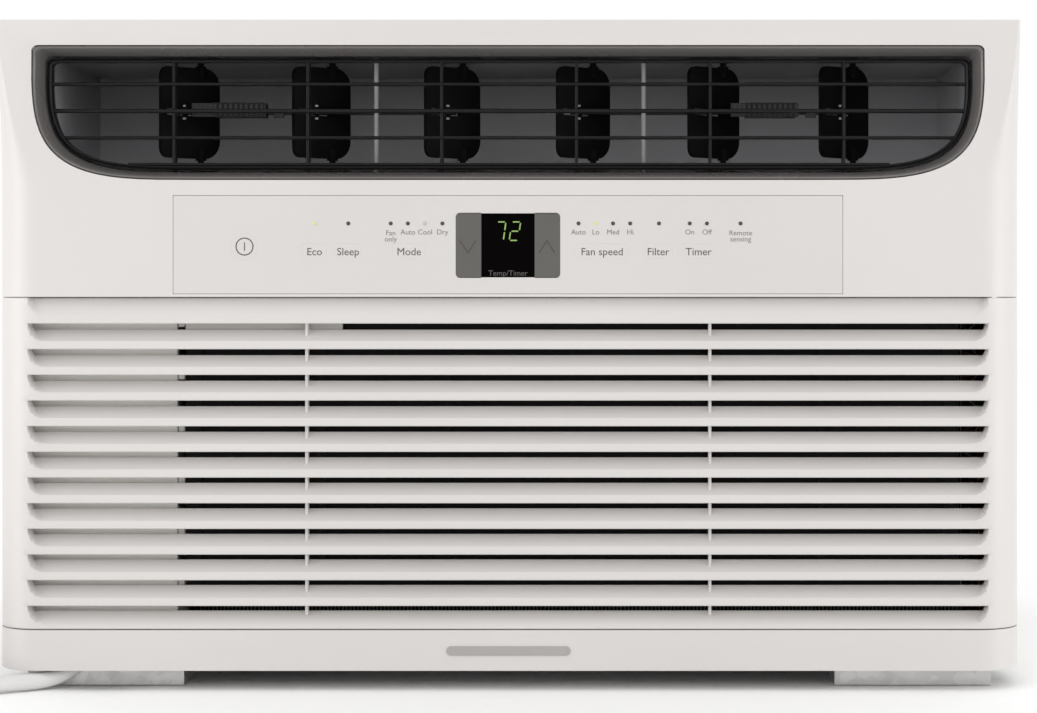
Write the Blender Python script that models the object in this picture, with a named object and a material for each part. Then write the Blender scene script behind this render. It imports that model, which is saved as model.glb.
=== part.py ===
"""A window air conditioner, as separate parts that fit together and move.

Metres, +Z up. The front faces -Y. The origin is on the ground, in the middle of the footprint.
"""

import math

import bmesh
import bpy
from mathutils import Matrix, Vector

# ---- Driving dimensions ----
WIDTH = 0.470
DEPTH = 0.390
HEIGHT = 0.305
FOOT_HEIGHT = 0.0085
GAP = 0.0003
FRONT = -DEPTH / 2
BACK = DEPTH / 2
SIDE = WIDTH / 2
BOTTOM = FOOT_HEIGHT + GAP

# Front panel: a flat face whose width flares towards the top, and rounded side corners.
FLAT_HALF = 0.214
FLARE_HALF = 0.232
FLARE_START = 0.232
FLARE_POWER = 1.8
CORNER_DEPTH = 0.025
PANEL_BACK = -0.127
PANEL_WALL = 0.0025
LIP_BACK = -0.166

# Discharge opening: square top corners and wide, superelliptic bottom corners.
OUTLET_HALF = 0.217
OUTLET_LOW = 0.2321
OUTLET_HIGH = 0.2935
OUTLET_SWEEP = 0.078
OUTLET_POWER = 3.9
BEZEL_BACK = -0.172
GRILLE_FRONT = -0.184
GRILLE_BACK = -0.178

# Vanes, counted from the left.
VANE_PIVOTS = [-0.1465, -0.0845, -0.0230, 0.0385, 0.0998, 0.1610]
VANE_Y = -0.150
VANE_REST_DEG = 47.0
VANE_FRONT = 0.0247
VANE_REAR = 0.0133
VANE_LOW = 0.243
VANE_HIGH = 0.2875
LINK_ARM = 0.009
LINK_LOW = 0.2645
LINK_HIGH = 0.2665
LINK_PIN_RADIUS = 0.0012

# Control area.
OVERLAY_HALF = 0.1522
OVERLAY_LOW = 0.1804
OVERLAY_HIGH = 0.2249
OVERLAY_THICK = 0.0012
# Key name: centre x, centre z, width, height, corner radius.
KEYS = {
    "key_power": (-0.1198, 0.2018, 0.0120, 0.0120, 0.0058),
    "key_eco": (-0.0880, 0.1998, 0.0110, 0.0070, 0.0015),
    "key_sleep": (-0.0726, 0.1998, 0.0130, 0.0070, 0.0015),
    "key_mode": (-0.0450, 0.1998, 0.0150, 0.0070, 0.0015),
    "key_temp_down": (-0.0180, 0.20235, 0.0116, 0.0297, 0.0015),
    "key_temp_up": (0.0180, 0.20235, 0.0116, 0.0297, 0.0015),
    "key_fan_speed": (0.0428, 0.1998, 0.0240, 0.0070, 0.0015),
    "key_filter": (0.0684, 0.1998, 0.0130, 0.0070, 0.0015),
    "key_timer": (0.0867, 0.1998, 0.0150, 0.0070, 0.0015),
}
DISPLAY = (0.0, 0.20235, 0.0238, 0.0297)

# Intake grille door, hinged along its lower front edge.
DOOR_LOW = 0.0277
DOOR_HIGH = 0.1783
DOOR_BACK = -0.172
DOOR_PLATE = 0.008
DOOR_OPENING_LOW = 0.0270
DOOR_OPENING_HIGH = 0.1789
DOOR_AXIS_Y = FRONT + 0.0011
DOOR_AXIS_Z = 0.0288
SLOT_COUNT = 12
SLOT_PITCH = 0.01168
SLOT_TOP = 0.1668
SLOT_HEIGHT = 0.0029
SLOT_HALF = 0.213
RIB_X = 0.092
RIB_WIDTH = 0.0012

# Fan axis, which runs front to back.
FAN_X = -0.060
FAN_Z = 0.152
SHAFT_RADIUS = 0.004
BORE_RADIUS = SHAFT_RADIUS + GAP
WHEEL_RADIUS = 0.078
FAN_RADIUS = 0.125

# Compressor axis.
COMPRESSOR_X = 0.150
COMPRESSOR_Y = 0.045
COMPRESSOR_RADIUS = 0.057

# Cord. It leaves its strain relief level, drops to the ground and runs to its coil.
CORD_RADIUS = 0.00375
CORD_HEADING = Vector((-0.8387, -0.5446, 0.0))
CORD_EXIT = Vector((-0.1810, -0.1710, 0.0167))
CORD_ROUTE = [
    (-0.1810, -0.1710, 0.0167),
    (-0.1894, -0.1764, 0.0153),
    (-0.1979, -0.1820, 0.0103),
    (-0.2062, -0.1873, 0.0055),
    (-0.2150, -0.1931, 0.0039),
    (-0.2275, -0.2014, 0.0039),
    (-0.2410, -0.2108, 0.0039),
    (-0.2545, -0.2197, 0.0039),
]
COIL_CENTRE = Vector((-0.3062, -0.1930, 0.0))
COIL_RADII = (0.0270, 0.0345, 0.0420, 0.0495)
COIL_HEIGHT = 0.015

STEEL_SHEET = 0.001

# Finish of each material: colour, roughness, metallic.
FINISHES = {
    "white_plastic": ((0.80, 0.77, 0.75), 0.45, 0.0),
    "rim_plastic": ((0.045, 0.040, 0.038), 0.20, 0.0),
    "black_plastic": ((0.016, 0.016, 0.018), 0.40, 0.0),
    "duct_plastic": ((0.050, 0.048, 0.048), 0.55, 0.0),
    "overlay": ((0.79, 0.76, 0.74), 0.35, 0.0),
    "grey_key": ((0.13, 0.125, 0.115), 0.35, 0.0),
    "display": ((0.010, 0.010, 0.010), 0.10, 0.0),
    "board": ((0.05, 0.20, 0.08), 0.50, 0.0),
    "galvanised": ((0.55, 0.54, 0.53), 0.40, 1.0),
    "painted_steel": ((0.72, 0.71, 0.69), 0.45, 0.0),
    "foam": ((0.72, 0.71, 0.68), 0.85, 0.0),
    "fins": ((0.62, 0.63, 0.64), 0.35, 1.0),
    "fan_plastic": ((0.06, 0.06, 0.06), 0.50, 0.0),
    "motor_steel": ((0.40, 0.40, 0.40), 0.35, 1.0),
    "compressor_paint": ((0.015, 0.015, 0.015), 0.30, 0.0),
    "copper": ((0.72, 0.36, 0.20), 0.30, 1.0),
    "filter_plastic": ((0.10, 0.10, 0.10), 0.60, 0.0),
    "capacitor_can": ((0.60, 0.60, 0.60), 0.30, 1.0),
    "cord_jacket": ((0.78, 0.77, 0.76), 0.50, 0.0),
    "brass": ((0.72, 0.55, 0.25), 0.30, 1.0),
}


# ---- Tools ----
def make_material(name):
    colour, roughness, metallic = FINISHES[name]
    made = bpy.data.materials.new(name)
    made.use_nodes = True
    shader = made.node_tree.nodes["Principled BSDF"]
    shader.inputs["Base Color"].default_value = (*colour, 1.0)
    shader.inputs["Roughness"].default_value = roughness
    shader.inputs["Metallic"].default_value = metallic
    return made


def add(name, bm, finish, origin=(0, 0, 0), smooth_deg=None):
    """Links a mesh as the named part, with its origin on `origin`."""
    bmesh.ops.recalc_face_normals(bm, faces=bm.faces[:])
    bm.transform(Matrix.Translation(-Vector(origin)))
    mesh = bpy.data.meshes.new(name)
    bm.to_mesh(mesh)
    bm.free()
    mesh.materials.append(make_material(finish))
    if smooth_deg:
        mesh.shade_smooth()
        mesh.set_sharp_from_angle(angle=math.radians(smooth_deg))
    made = bpy.data.objects.new(name, mesh)
    made.location = origin
    bpy.context.scene.collection.objects.link(made)
    return made


def combine(target, bm, operation):
    """Cuts a mesh from the target, or joins it on, with a hidden helper object."""
    bmesh.ops.recalc_face_normals(bm, faces=bm.faces[:])
    mesh = bpy.data.meshes.new(target.name + "_tool")
    bm.to_mesh(mesh)
    bm.free()
    helper = bpy.data.objects.new(target.name + "_tool", mesh)
    bpy.context.scene.collection.objects.link(helper)
    helper.hide_render = True
    helper.display_type = "WIRE"
    step = target.modifiers.new(operation.title(), "BOOLEAN")
    step.operation = operation
    step.solver = "EXACT"
    step.object = helper
    return helper


def cut(target, bm):
    return combine(target, bm, "DIFFERENCE")


def join(target, bm):
    return combine(target, bm, "UNION")


def boxes(*pairs):
    """A mesh of separate boxes, each from its lowest to its highest corner."""
    bm = bmesh.new()
    for low, high in pairs:
        size = [b - a for a, b in zip(low, high)]
        middle = [(a + b) / 2 for a, b in zip(low, high)]
        shape = Matrix.Translation(middle) @ Matrix.Diagonal((*size, 1))
        bmesh.ops.create_cube(bm, size=1, matrix=shape)
    return bm


def along(axis, a, b, c):
    """A point from two coordinates across an axis, in X, Y, Z order, and one along it."""
    return {"X": (c, a, b), "Y": (a, c, b), "Z": (a, b, c)}[axis]


def prism(outline, low, high, axis, holes=(), bm=None):
    """A flat outline with holes, extruded along an axis."""
    bm = bm or bmesh.new()
    edges = []
    for loop in (outline, *holes):
        ring = [bm.verts.new(along(axis, a, b, low)) for a, b in loop]
        edges += [bm.edges.new((ring[i - 1], ring[i])) for i in range(len(ring))]
    filled = bmesh.ops.triangle_fill(bm, edges=edges, use_beauty=True)
    faces = [g for g in filled["geom"] if isinstance(g, bmesh.types.BMFace)]
    pushed = bmesh.ops.extrude_face_region(bm, geom=faces)
    moved = [g for g in pushed["geom"] if isinstance(g, bmesh.types.BMVert)]
    bmesh.ops.translate(bm, verts=moved, vec=along(axis, 0, 0, high - low))
    return bm


def loft(loops, ring=False):
    """A skin over loops with equal numbers of points, closed by caps or back to the first loop."""
    bm = bmesh.new()
    rows = [[bm.verts.new(p) for p in loop] for loop in loops]
    following = rows[1:] + rows[:1] if ring else rows[1:]
    for low, high in zip(rows, following):
        for i in range(len(low)):
            bm.faces.new((low[i - 1], low[i], high[i], high[i - 1]))
    if not ring:
        bm.faces.new(rows[0])
        bm.faces.new(rows[-1])
    return bm


def circle(radius, steps, centre=(0.0, 0.0)):
    turns = [2 * math.pi * i / steps for i in range(steps)]
    return [(centre[0] + radius * math.cos(t), centre[1] + radius * math.sin(t)) for t in turns]


def turned(profile, steps, axis="Z", centre=(0.0, 0.0), ring=False):
    """A solid of revolution from (radius, height) points. A ring's profile is a closed loop."""
    loops = [[along(axis, a, b, h) for a, b in circle(r, steps, centre)] for r, h in profile]
    return loft(loops, ring)


def rounded(low, high, radii, steps=3):
    """A rectangle with rounded corners: low left, low right, high right, high left."""
    corners = [
        (low[0], low[1], 1, 1, 180),
        (high[0], low[1], -1, 1, 270),
        (high[0], high[1], -1, -1, 0),
        (low[0], high[1], 1, -1, 90),
    ]
    points = []
    for (a, b, sign_a, sign_b, start), radius in zip(corners, radii):
        for k in range(steps + 1):
            turn = math.radians(start + 90 * k / steps)
            a_at = a + sign_a * radius + radius * math.cos(turn)
            b_at = b + sign_b * radius + radius * math.sin(turn)
            points.append((a_at, b_at))
    return points


def smooth_route(points, count):
    """Points spread along the smooth curve through the given ones."""
    ends = [2 * Vector(points[0]) - Vector(points[1])]
    ends += [Vector(p) for p in points]
    ends += [2 * Vector(points[-1]) - Vector(points[-2])]
    spans = len(points) - 1
    route = []
    for k in range(count + 1):
        place = k / count * spans
        i = min(int(place), spans - 1)
        t = place - i
        a, b, c, d = ends[i : i + 4]
        tangents = (2 * b, c - a, 2 * a - 5 * b + 4 * c - d, 3 * b - a - 3 * c + d)
        route.append(sum((v * t**n / 2 for n, v in enumerate(tangents)), Vector()))
    return route


def tube(name, points, radius, finish, resolution=2):
    """A round tube through the points, with filled ends."""
    curve = bpy.data.curves.new(name, "CURVE")
    curve.dimensions = "3D"
    curve.bevel_depth = radius
    curve.bevel_resolution = resolution
    curve.use_fill_caps = True
    spline = curve.splines.new("POLY")
    spline.points.add(len(points) - 1)
    for spot, place in zip(spline.points, points):
        spot.co = (*place, 1)
    curve.materials.append(make_material(finish))
    made = bpy.data.objects.new(name, curve)
    bpy.context.scene.collection.objects.link(made)
    return made


# ---- Front ----
def half_width(y, z):
    """Half the width of the front's outer skin at a depth and a height."""
    rise = min(1.0, max(0.0, (z - FLARE_START) / (HEIGHT - FLARE_START)))
    flat = FLAT_HALF + (FLARE_HALF - FLAT_HALF) * (1 - (1 - rise) ** FLARE_POWER)
    turn = min(1.0, max(0.0, (y - FRONT) / CORNER_DEPTH))
    return flat + (SIDE - flat) * math.sqrt(1 - (1 - turn) ** 2)


def front_block(low, high, back, inset_x=0.0, inset_y=0.0):
    """The solid inside the front's skin between two heights, from the face to `back`."""
    heights = [low, high]
    if high > FLARE_START:
        heights[1:1] = [FLARE_START + (high - FLARE_START) * k / 5 for k in range(5)]
    steps = 5
    depths = [FRONT + CORNER_DEPTH * (1 - math.cos(math.pi / 2 * k / steps)) for k in range(steps + 1)]
    depths = [y for y in depths if y < back - 0.001] + [back - inset_y]
    loops = []
    for y in depths:
        right = [(half_width(y, z) - inset_x, y + inset_y, z) for z in heights]
        left = [(-x, depth, z) for x, depth, z in reversed(right)]
        loops.append(right + left)
    return loft(loops)


def outlet_outline(inset, steps=9):
    """The discharge opening's outline, drawn in by `inset` all round."""
    centre = OUTLET_HALF - OUTLET_SWEEP
    reach = OUTLET_SWEEP - inset
    drop = OUTLET_HIGH - OUTLET_LOW - 2 * inset
    right = []
    for k in range(steps + 1):
        turn = math.pi / 2 * k / steps
        x = centre + reach * math.cos(turn) ** (2 / OUTLET_POWER)
        z = OUTLET_HIGH - inset - drop * math.sin(turn) ** (2 / OUTLET_POWER)
        right.append((x, z))
    return right + [(-x, z) for x, z in reversed(right)]


def key_outline(x, z, width, height, radius, shrink=0.0):
    low = (x - width / 2 + shrink, z - height / 2 + shrink)
    high = (x + width / 2 - shrink, z + height / 2 - shrink)
    return rounded(low, high, [radius - shrink] * 4)


def front_panel():
    wall = PANEL_WALL
    panel = add("front_panel", front_block(BOTTOM, HEIGHT, PANEL_BACK), "white_plastic", smooth_deg=30)
    cut(panel, front_block(BOTTOM + wall, HEIGHT - wall, PANEL_BACK + 0.01, wall, wall))
    inner = SIDE - wall
    cut(panel, boxes(((-inner, LIP_BACK, 0), (inner, PANEL_BACK + 0.01, BOTTOM + 2 * wall))))
    cut(panel, boxes(((-1, -1, DOOR_OPENING_LOW), (1, DOOR_BACK + GAP, DOOR_OPENING_HIGH))))
    cut(panel, prism(outlet_outline(0), FRONT - 0.01, FRONT + 0.01, "Y"))
    shelf = FLAT_HALF + 0.012
    join(panel, boxes(((-shelf, FRONT + 0.001, DOOR_OPENING_HIGH), (shelf, -0.174, OVERLAY_LOW))))
    pocket = ((-OVERLAY_HALF - GAP, FRONT - 0.01, OVERLAY_LOW - GAP),
              (OVERLAY_HALF + GAP, FRONT + OVERLAY_THICK + GAP, OVERLAY_HIGH + GAP))
    cut(panel, boxes(pocket))
    ledge = 0.0025
    cut(panel, boxes(((-OVERLAY_HALF + ledge, FRONT, OVERLAY_LOW + ledge),
                      (OVERLAY_HALF - ledge, FRONT + 0.006, OVERLAY_HIGH - ledge))))
    cord_notch = ((-0.222, FRONT + wall, 0), (-0.172, -0.150, BOTTOM + 2 * wall))
    cut(panel, boxes(cord_notch))


def outlet_bezel():
    """The dark rim that lines the discharge opening and narrows towards the back."""
    layers = [(GAP, FRONT + GAP), (GAP, BEZEL_BACK), (0.0060, BEZEL_BACK), (0.0019, FRONT + GAP)]
    loops = [[(x, y, z) for x, z in outlet_outline(inset)] for inset, y in layers]
    add("outlet_bezel", loft(loops, ring=True), "rim_plastic", smooth_deg=40)


def discharge_grille():
    """A frame in the rim with four level bars and six upright ones."""
    edge = 0.0054
    frame = 0.0020
    bar = 0.0012
    grille = add("discharge_grille", prism(outlet_outline(edge), GRILLE_FRONT, GRILLE_BACK, "Y"),
                 "black_plastic")
    uprights = [-0.154, -0.0925, -0.031, 0.031, 0.0925, 0.154]
    level = [0.2398 + 0.0123 * k for k in range(4)]
    columns = [-OUTLET_HALF] + uprights + [OUTLET_HALF]
    rows = [OUTLET_LOW - 0.005] + level + [OUTLET_HIGH + 0.005]
    cells = [
        ((a + bar, GRILLE_FRONT - 0.01, low + bar), (b - bar, GRILLE_BACK + 0.01, high - bar))
        for a, b in zip(columns, columns[1:])
        for low, high in zip(rows, rows[1:])
    ]
    windows = cut(grille, boxes(*cells))
    inner = prism(outlet_outline(edge + frame), GRILLE_FRONT - 0.02, GRILLE_BACK + 0.02, "Y")
    combine(windows, inner, "INTERSECT")


def control_panel():
    """The thin overlay with its key openings, its window, its keys and the board behind."""
    low = (-OVERLAY_HALF, OVERLAY_LOW)
    high = (OVERLAY_HALF, OVERLAY_HIGH)
    holes = [key_outline(*place) for place in KEYS.values()]
    x, z, width, height = DISPLAY
    holes.append(key_outline(x, z, width - 0.0002, height, 0.0006))
    back = FRONT + OVERLAY_THICK
    plate = prism(rounded(low, high, [0.0005] * 4, 1), FRONT, back, "Y", holes)
    add("control_panel", plate, "overlay")
    pane = prism(key_outline(x, z, width - 0.0002, height, 0.0006, GAP), FRONT, FRONT + 0.0022, "Y")
    add("display_window", pane, "display")
    board_front = FRONT + 0.0085
    board_back = board_front + 0.0016
    board = add("control_board", boxes(((-0.14, board_front, 0.1845), (0.14, board_back, 0.2215))), "board")
    switch = 0.003
    for name, (key_x, key_z, key_width, key_height, radius) in KEYS.items():
        outline = key_outline(key_x, key_z, key_width, key_height, radius, 0.0002)
        finish = "grey_key" if "temp" in name else "overlay"
        cap = add(name, prism(outline, FRONT, back, "Y"), finish, origin=(key_x, FRONT, key_z))
        stem = ((key_x - 0.0015, back - 0.0004, key_z - 0.0015),
                (key_x + 0.0015, board_front - 0.0034, key_z + 0.0015))
        join(cap, boxes(stem))
        join(board, boxes(((key_x - switch, board_front - 0.0025, key_z - switch),
                           (key_x + switch, board_front + 0.0004, key_z + switch))))


def intake_grille():
    """The louvred door, its origin on its hinge line."""
    door = add("intake_grille", front_block(DOOR_LOW, DOOR_HIGH, DOOR_BACK), "white_plastic",
               origin=(0, DOOR_AXIS_Y, DOOR_AXIS_Z), smooth_deg=30)
    rim = 0.003
    cut(door, front_block(DOOR_LOW + rim, DOOR_HIGH - rim - 0.002, DOOR_BACK + 0.02, rim, DOOR_PLATE))
    slope = [(FRONT + DOOR_PLATE, DOOR_HIGH), (-0.16, DOOR_HIGH - 0.0024), (-0.16, DOOR_HIGH + 0.01),
             (FRONT + DOOR_PLATE, DOOR_HIGH + 0.01)]
    cut(door, prism(slope, -1, 1, "X"))
    edges = [-SLOT_HALF, -RIB_X, RIB_X, SLOT_HALF]
    slots = []
    for k in range(SLOT_COUNT):
        top = SLOT_TOP - SLOT_PITCH * k
        for a, b in zip(edges, edges[1:]):
            low = (a + RIB_WIDTH / 2, FRONT - 0.01, top - SLOT_HEIGHT)
            slots.append((low, (b - RIB_WIDTH / 2, FRONT + DOOR_PLATE + 0.002, top)))
    cut(door, boxes(*slots))


def air_filter():
    """The filter: a frame with ribs over a thin screen, clipped behind the door."""
    left, right, low, high = -0.148, 0.206, 0.040, 0.171
    front, back = -0.1845, -0.1825
    columns = 6
    rows = 2
    border = 0.005
    rib = 0.0015
    wide = (right - left - 2 * border) / columns
    tall = (high - low - 2 * border) / rows
    holes = []
    for i in range(columns):
        for j in range(rows):
            a = left + border + wide * i
            b = low + border + tall * j
            holes.append([(a + rib, b + rib), (a + wide - rib, b + rib),
                          (a + wide - rib, b + tall - rib), (a + rib, b + tall - rib)])
    frame = prism([(left, low), (right, low), (right, high), (left, high)], front, back, "Y", holes)
    screen = add("air_filter", frame, "filter_plastic", origin=(0, DOOR_AXIS_Y, DOOR_AXIS_Z))
    inset = 0.002
    join(screen, boxes(((left + inset, back - 0.0008, low + inset),
                        (right - inset, back - 0.0003, high - inset))))


# ---- Air outlet ----
def vanes():
    """Six upright vanes. Each turns on its end pins and has a link pin across its window."""
    half_thick = 0.001
    window = ((-0.0198, 0.2612), (-0.0024, 0.2702))
    blade = rounded((-VANE_FRONT, VANE_LOW), (VANE_REAR, VANE_HIGH), [0.004, 0.0095, 0.0095, 0.004], 4)
    opening = rounded(*window, [0.0008] * 4, 1)
    for i, x in enumerate(VANE_PIVOTS):
        vane = add(f"vane_{i + 1}", prism(blade, -half_thick, half_thick, "X", [opening]), "black_plastic")
        pins = turned([(0.0015, VANE_HIGH - 0.004), (0.0015, 0.2920)], 10)
        join(vane, pins)
        join(vane, turned([(0.0015, 0.2336), (0.0015, VANE_LOW + 0.004)], 10))
        link_pin = [(LINK_PIN_RADIUS, window[0][1] - 0.001), (LINK_PIN_RADIUS, window[1][1] + 0.001)]
        join(vane, turned(link_pin, 8, centre=(0.0, -LINK_ARM)))
        helpers = [step.object for step in vane.modifiers]
        for piece in [vane, *helpers]:
            piece.location = (x, VANE_Y, 0)
            piece.rotation_euler.z = -math.radians(VANE_REST_DEG)


def vane_links():
    """Two bars that each turn three vanes together, with a thumb block to push."""
    turn = math.radians(VANE_REST_DEG)
    pin_dx = -LINK_ARM * math.sin(turn)
    slot_y = VANE_Y - 0.0074
    slot_half = (0.0017, 0.0031)
    half_width_y = 0.0041
    for name, first in (("vane_link_left", 0), ("vane_link_right", 3)):
        pins = [x + pin_dx for x in VANE_PIVOTS[first : first + 3]]
        low = (pins[0] - 0.004, slot_y - half_width_y)
        high = (pins[-1] + 0.004, slot_y + half_width_y)
        slots = [
            rounded((x - slot_half[0], slot_y - slot_half[1]), (x + slot_half[0], slot_y + slot_half[1]),
                    [0.0012] * 4, 2)
            for x in pins
        ]
        bar = prism(rounded(low, high, [0.001] * 4, 1), LINK_LOW, LINK_HIGH, "Z", slots)
        link = add(name, bar, "black_plastic")
        block_x = VANE_PIVOTS[0 if first == 0 else 4] + 0.0095
        join(link, boxes(((block_x, -0.175, 0.2625), (block_x + 0.0235, -0.1600, 0.2688))))


def outlet_duct():
    """The duct behind the rim: open to the front, with a floor opening over the blower."""
    half = 0.216
    wall = 0.0025
    low, high = 0.2326, 0.2930
    front, back = BEZEL_BACK + GAP, -0.046
    duct = add("outlet_duct", boxes(((-half, front, low), (half, back, high))), "duct_plastic")
    cut(duct, boxes(((-half + wall, front - 0.01, low + wall), (half - wall, back - wall, high - wall))))
    cut(duct, boxes(((FAN_X - 0.095, -0.103, low - 0.01), (FAN_X + 0.095, -0.050, low + 2 * wall))))
    for x in VANE_PIVOTS:
        cut(duct, turned([(0.0019, low - 0.005), (0.0019, high + 0.005)], 10, centre=(x, VANE_Y)))
    for name, x in (("outlet_post_left", -0.062), ("outlet_post_right", 0.062)):
        post_low, post_high = low + wall + GAP, high - wall - GAP
        outline = rounded((x - 0.001, -0.1715), (x + 0.001, -0.1670), [0.0005] * 4, 1)
        add(name, prism(outline, post_low, post_high, "Z"), "galvanised")


# ---- Chassis ----
def chassis():
    sheet = 0.0012
    sole = 0.014
    for name, side in (("foot_left", -1), ("foot_right", 1)):
        a, b = sorted((side * 0.150, side * 0.222))
        top = FOOT_HEIGHT - sheet
        outline = [(a, 0), (a + sole, 0), (a + sole, sheet), (a + sheet, sheet), (a + sheet, top),
                   (b - sheet, top), (b - sheet, sheet), (b - sole, sheet), (b - sole, 0), (b, 0),
                   (b, FOOT_HEIGHT), (a, FOOT_HEIGHT)]
        foot = add(name, prism(outline, -0.178, 0.160, "Y"), "galvanised")
        join(foot, boxes(((a, -0.178, 0), (b, -0.178 + sheet, FOOT_HEIGHT))))
    pan_half, pan_front, pan_back = 0.2285, -0.158, 0.190
    pan = add("base_pan", boxes(((-pan_half, pan_front, BOTTOM), (pan_half, pan_back, 0.026))), "galvanised")
    cut(pan, boxes(((-pan_half + sheet, pan_front + sheet, BOTTOM + sheet),
                    (pan_half - sheet, pan_back - sheet, 0.03))))
    outer, low, high = 0.230, 0.0105, 0.300
    inner = outer - STEEL_SHEET
    outline = [(-outer, low), (-inner, low), (-inner, high - STEEL_SHEET), (inner, high - STEEL_SHEET),
               (inner, low), (outer, low), (outer, high), (-outer, high)]
    cabinet = add("cabinet", prism(outline, PANEL_BACK + GAP, BACK, "Y"), "painted_steel")
    louvres = [((-0.24, 0.030, 0.060 + 0.022 * k), (0.24, 0.125, 0.065 + 0.022 * k)) for k in range(10)]
    cut(cabinet, boxes(*louvres))
    vents = [((-0.170 + 0.045 * k, 0.065, 0.29), (-0.140 + 0.045 * k, 0.125, 0.31)) for k in range(8)]
    cut(cabinet, boxes(*vents))
    guard_half, guard_low, guard_high = 0.2282, 0.0270, 0.2985
    holes = []
    for i in range(4):
        for j in range(12):
            x = -0.220 + 0.1105 * i
            z = 0.0350 + 0.0217 * j
            holes.append([(x, z), (x + 0.1035, z), (x + 0.1035, z + 0.0160), (x, z + 0.0160)])
    frame = [(-guard_half, guard_low), (guard_half, guard_low), (guard_half, guard_high),
             (-guard_half, guard_high)]
    add("rear_guard", prism(frame, 0.1910, 0.1922, "Y", holes), "painted_steel")
    plate = [(-0.2270, 0.0103), (0.2270, 0.0103), (0.2270, 0.2980), (-0.2270, 0.2980)]
    pipes = [(0.1700, 0.040), (0.2150, 0.040), (0.2150, 0.090), (0.1700, 0.090)]
    shaft_hole = circle(0.014, 16, (FAN_X, FAN_Z))
    add("bulkhead", prism(plate, -0.0400, -0.0388, "Y", [shaft_hole, pipes]), "galvanised")


def control_box():
    """The pale box at the left that holds the wiring and the run capacitor."""
    low, high = (-0.226, -0.168, 0.030), (-0.153, -0.109, 0.228)
    wall = 0.002
    box = add("control_box", boxes((low, high)), "foam")
    cut(box, boxes(((low[0] + wall, low[1] + wall, low[2] + wall),
                    (high[0] - wall, high[1] + 0.01, high[2] - wall))))
    can = [(0.018, 0.0323), (0.020, 0.0343), (0.020, 0.100), (0.017, 0.103)]
    add("run_capacitor", turned(can, 20, centre=(-0.190, -0.140)), "capacitor_can", smooth_deg=40)


# ---- Fans ----
def blower():
    """The scroll round the blower wheel: an inlet in front, an outlet at the top."""
    radius, wall, top = 0.098, 0.004, 0.2322
    front, back = -0.108, -0.045

    def outline(shrink, lift=0.0):
        reach = radius - shrink
        turns = [math.pi + math.pi * k / 16 for k in range(17)]
        arc = [(FAN_X + reach * math.cos(t), FAN_Z - 0.003 + reach * math.sin(t)) for t in turns]
        return arc + [(FAN_X + reach, top + lift), (FAN_X - reach, top + lift)]

    scroll = add("blower_housing", prism(outline(0), front, back, "Y"), "foam")
    cut(scroll, prism(outline(wall, 0.01), front + wall, back - wall, "Y"))
    cut(scroll, turned([(0.062, front - 0.01), (0.062, front + 0.01)], 28, "Y", (FAN_X, FAN_Z)))
    cut(scroll, turned([(0.008, back - 0.01), (0.008, back + 0.01)], 12, "Y", (FAN_X, FAN_Z)))


def rotor():
    """The motor's shaft with the blower wheel in front and the condenser fan behind."""
    centre = (FAN_X, FAN_Z)
    origin = (FAN_X, 0, FAN_Z)
    shaft = [(SHAFT_RADIUS, -0.0960), (SHAFT_RADIUS, 0.1120)]
    add("motor_shaft", turned(shaft, 12, "Y", centre), "motor_steel", origin, 40)

    hub = [(BORE_RADIUS, -0.0700), (0.012, -0.0700), (0.012, -0.0550), (WHEEL_RADIUS, -0.0550),
           (WHEEL_RADIUS, -0.0530), (BORE_RADIUS, -0.0530)]
    wheel = add("blower_wheel", turned(hub, 32, "Y", centre, ring=True), "fan_plastic", origin, 40)
    blades = bmesh.new()
    count = 20
    for k in range(count):
        turn = 2 * math.pi * k / count
        lean = 0.16
        ends = [(0.0655, turn), (0.0770, turn + lean)]
        edge = 0.0011
        (ra, ta), (rb, tb) = ends
        quad = [(ra, ta - edge / ra), (rb, tb - edge / rb), (rb, tb + edge / rb), (ra, ta + edge / ra)]
        points = [(FAN_X + r * math.cos(t), FAN_Z + r * math.sin(t)) for r, t in quad]
        prism(points, -0.0985, -0.0540, "Y", bm=blades)
    join(wheel, blades)
    rim = [(0.0645, -0.1000), (WHEEL_RADIUS, -0.1000), (WHEEL_RADIUS, -0.0970), (0.0645, -0.0970)]
    join(wheel, turned(rim, 32, "Y", centre, ring=True))

    fan_hub = [(BORE_RADIUS, 0.0780), (0.020, 0.0780), (0.023, 0.0820), (0.023, 0.1060),
               (BORE_RADIUS, 0.1060)]
    fan = add("condenser_fan", turned(fan_hub, 20, "Y", centre, ring=True), "fan_plastic", origin, 40)
    fan_blades = 5
    for k in range(fan_blades):
        join(fan, fan_blade(2 * math.pi * k / fan_blades, centre))
    slinger = [(FAN_RADIUS - 0.003, 0.0860), (FAN_RADIUS, 0.0860), (FAN_RADIUS, 0.0980),
               (FAN_RADIUS - 0.003, 0.0980)]
    join(fan, turned(slinger, 48, "Y", centre, ring=True))


def fan_blade(start, centre):
    """One flat, pitched blade from the hub to the slinger ring."""
    root_radius, root_half = 0.0170, 0.0120
    tip_radius, tip_half_deg = 0.1235, 16
    rise = 0.36
    outline = [(root_radius, root_half), (root_radius, -root_half), (0.0750, -0.0270)]
    for k in range(5):
        turn = math.radians(tip_half_deg * (k - 2) / 2)
        outline.append((tip_radius * math.cos(turn), tip_radius * math.sin(turn)))
    outline.append((0.0750, 0.0270))
    blade = prism(outline, 0.0910, 0.0930, "Y")
    for vert in blade.verts:
        out, aside = vert.co.x, vert.co.z
        vert.co.y += rise * aside
        vert.co.x = centre[0] + out * math.cos(start) - aside * math.sin(start)
        vert.co.z = centre[1] + out * math.sin(start) + aside * math.cos(start)
    return blade


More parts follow.
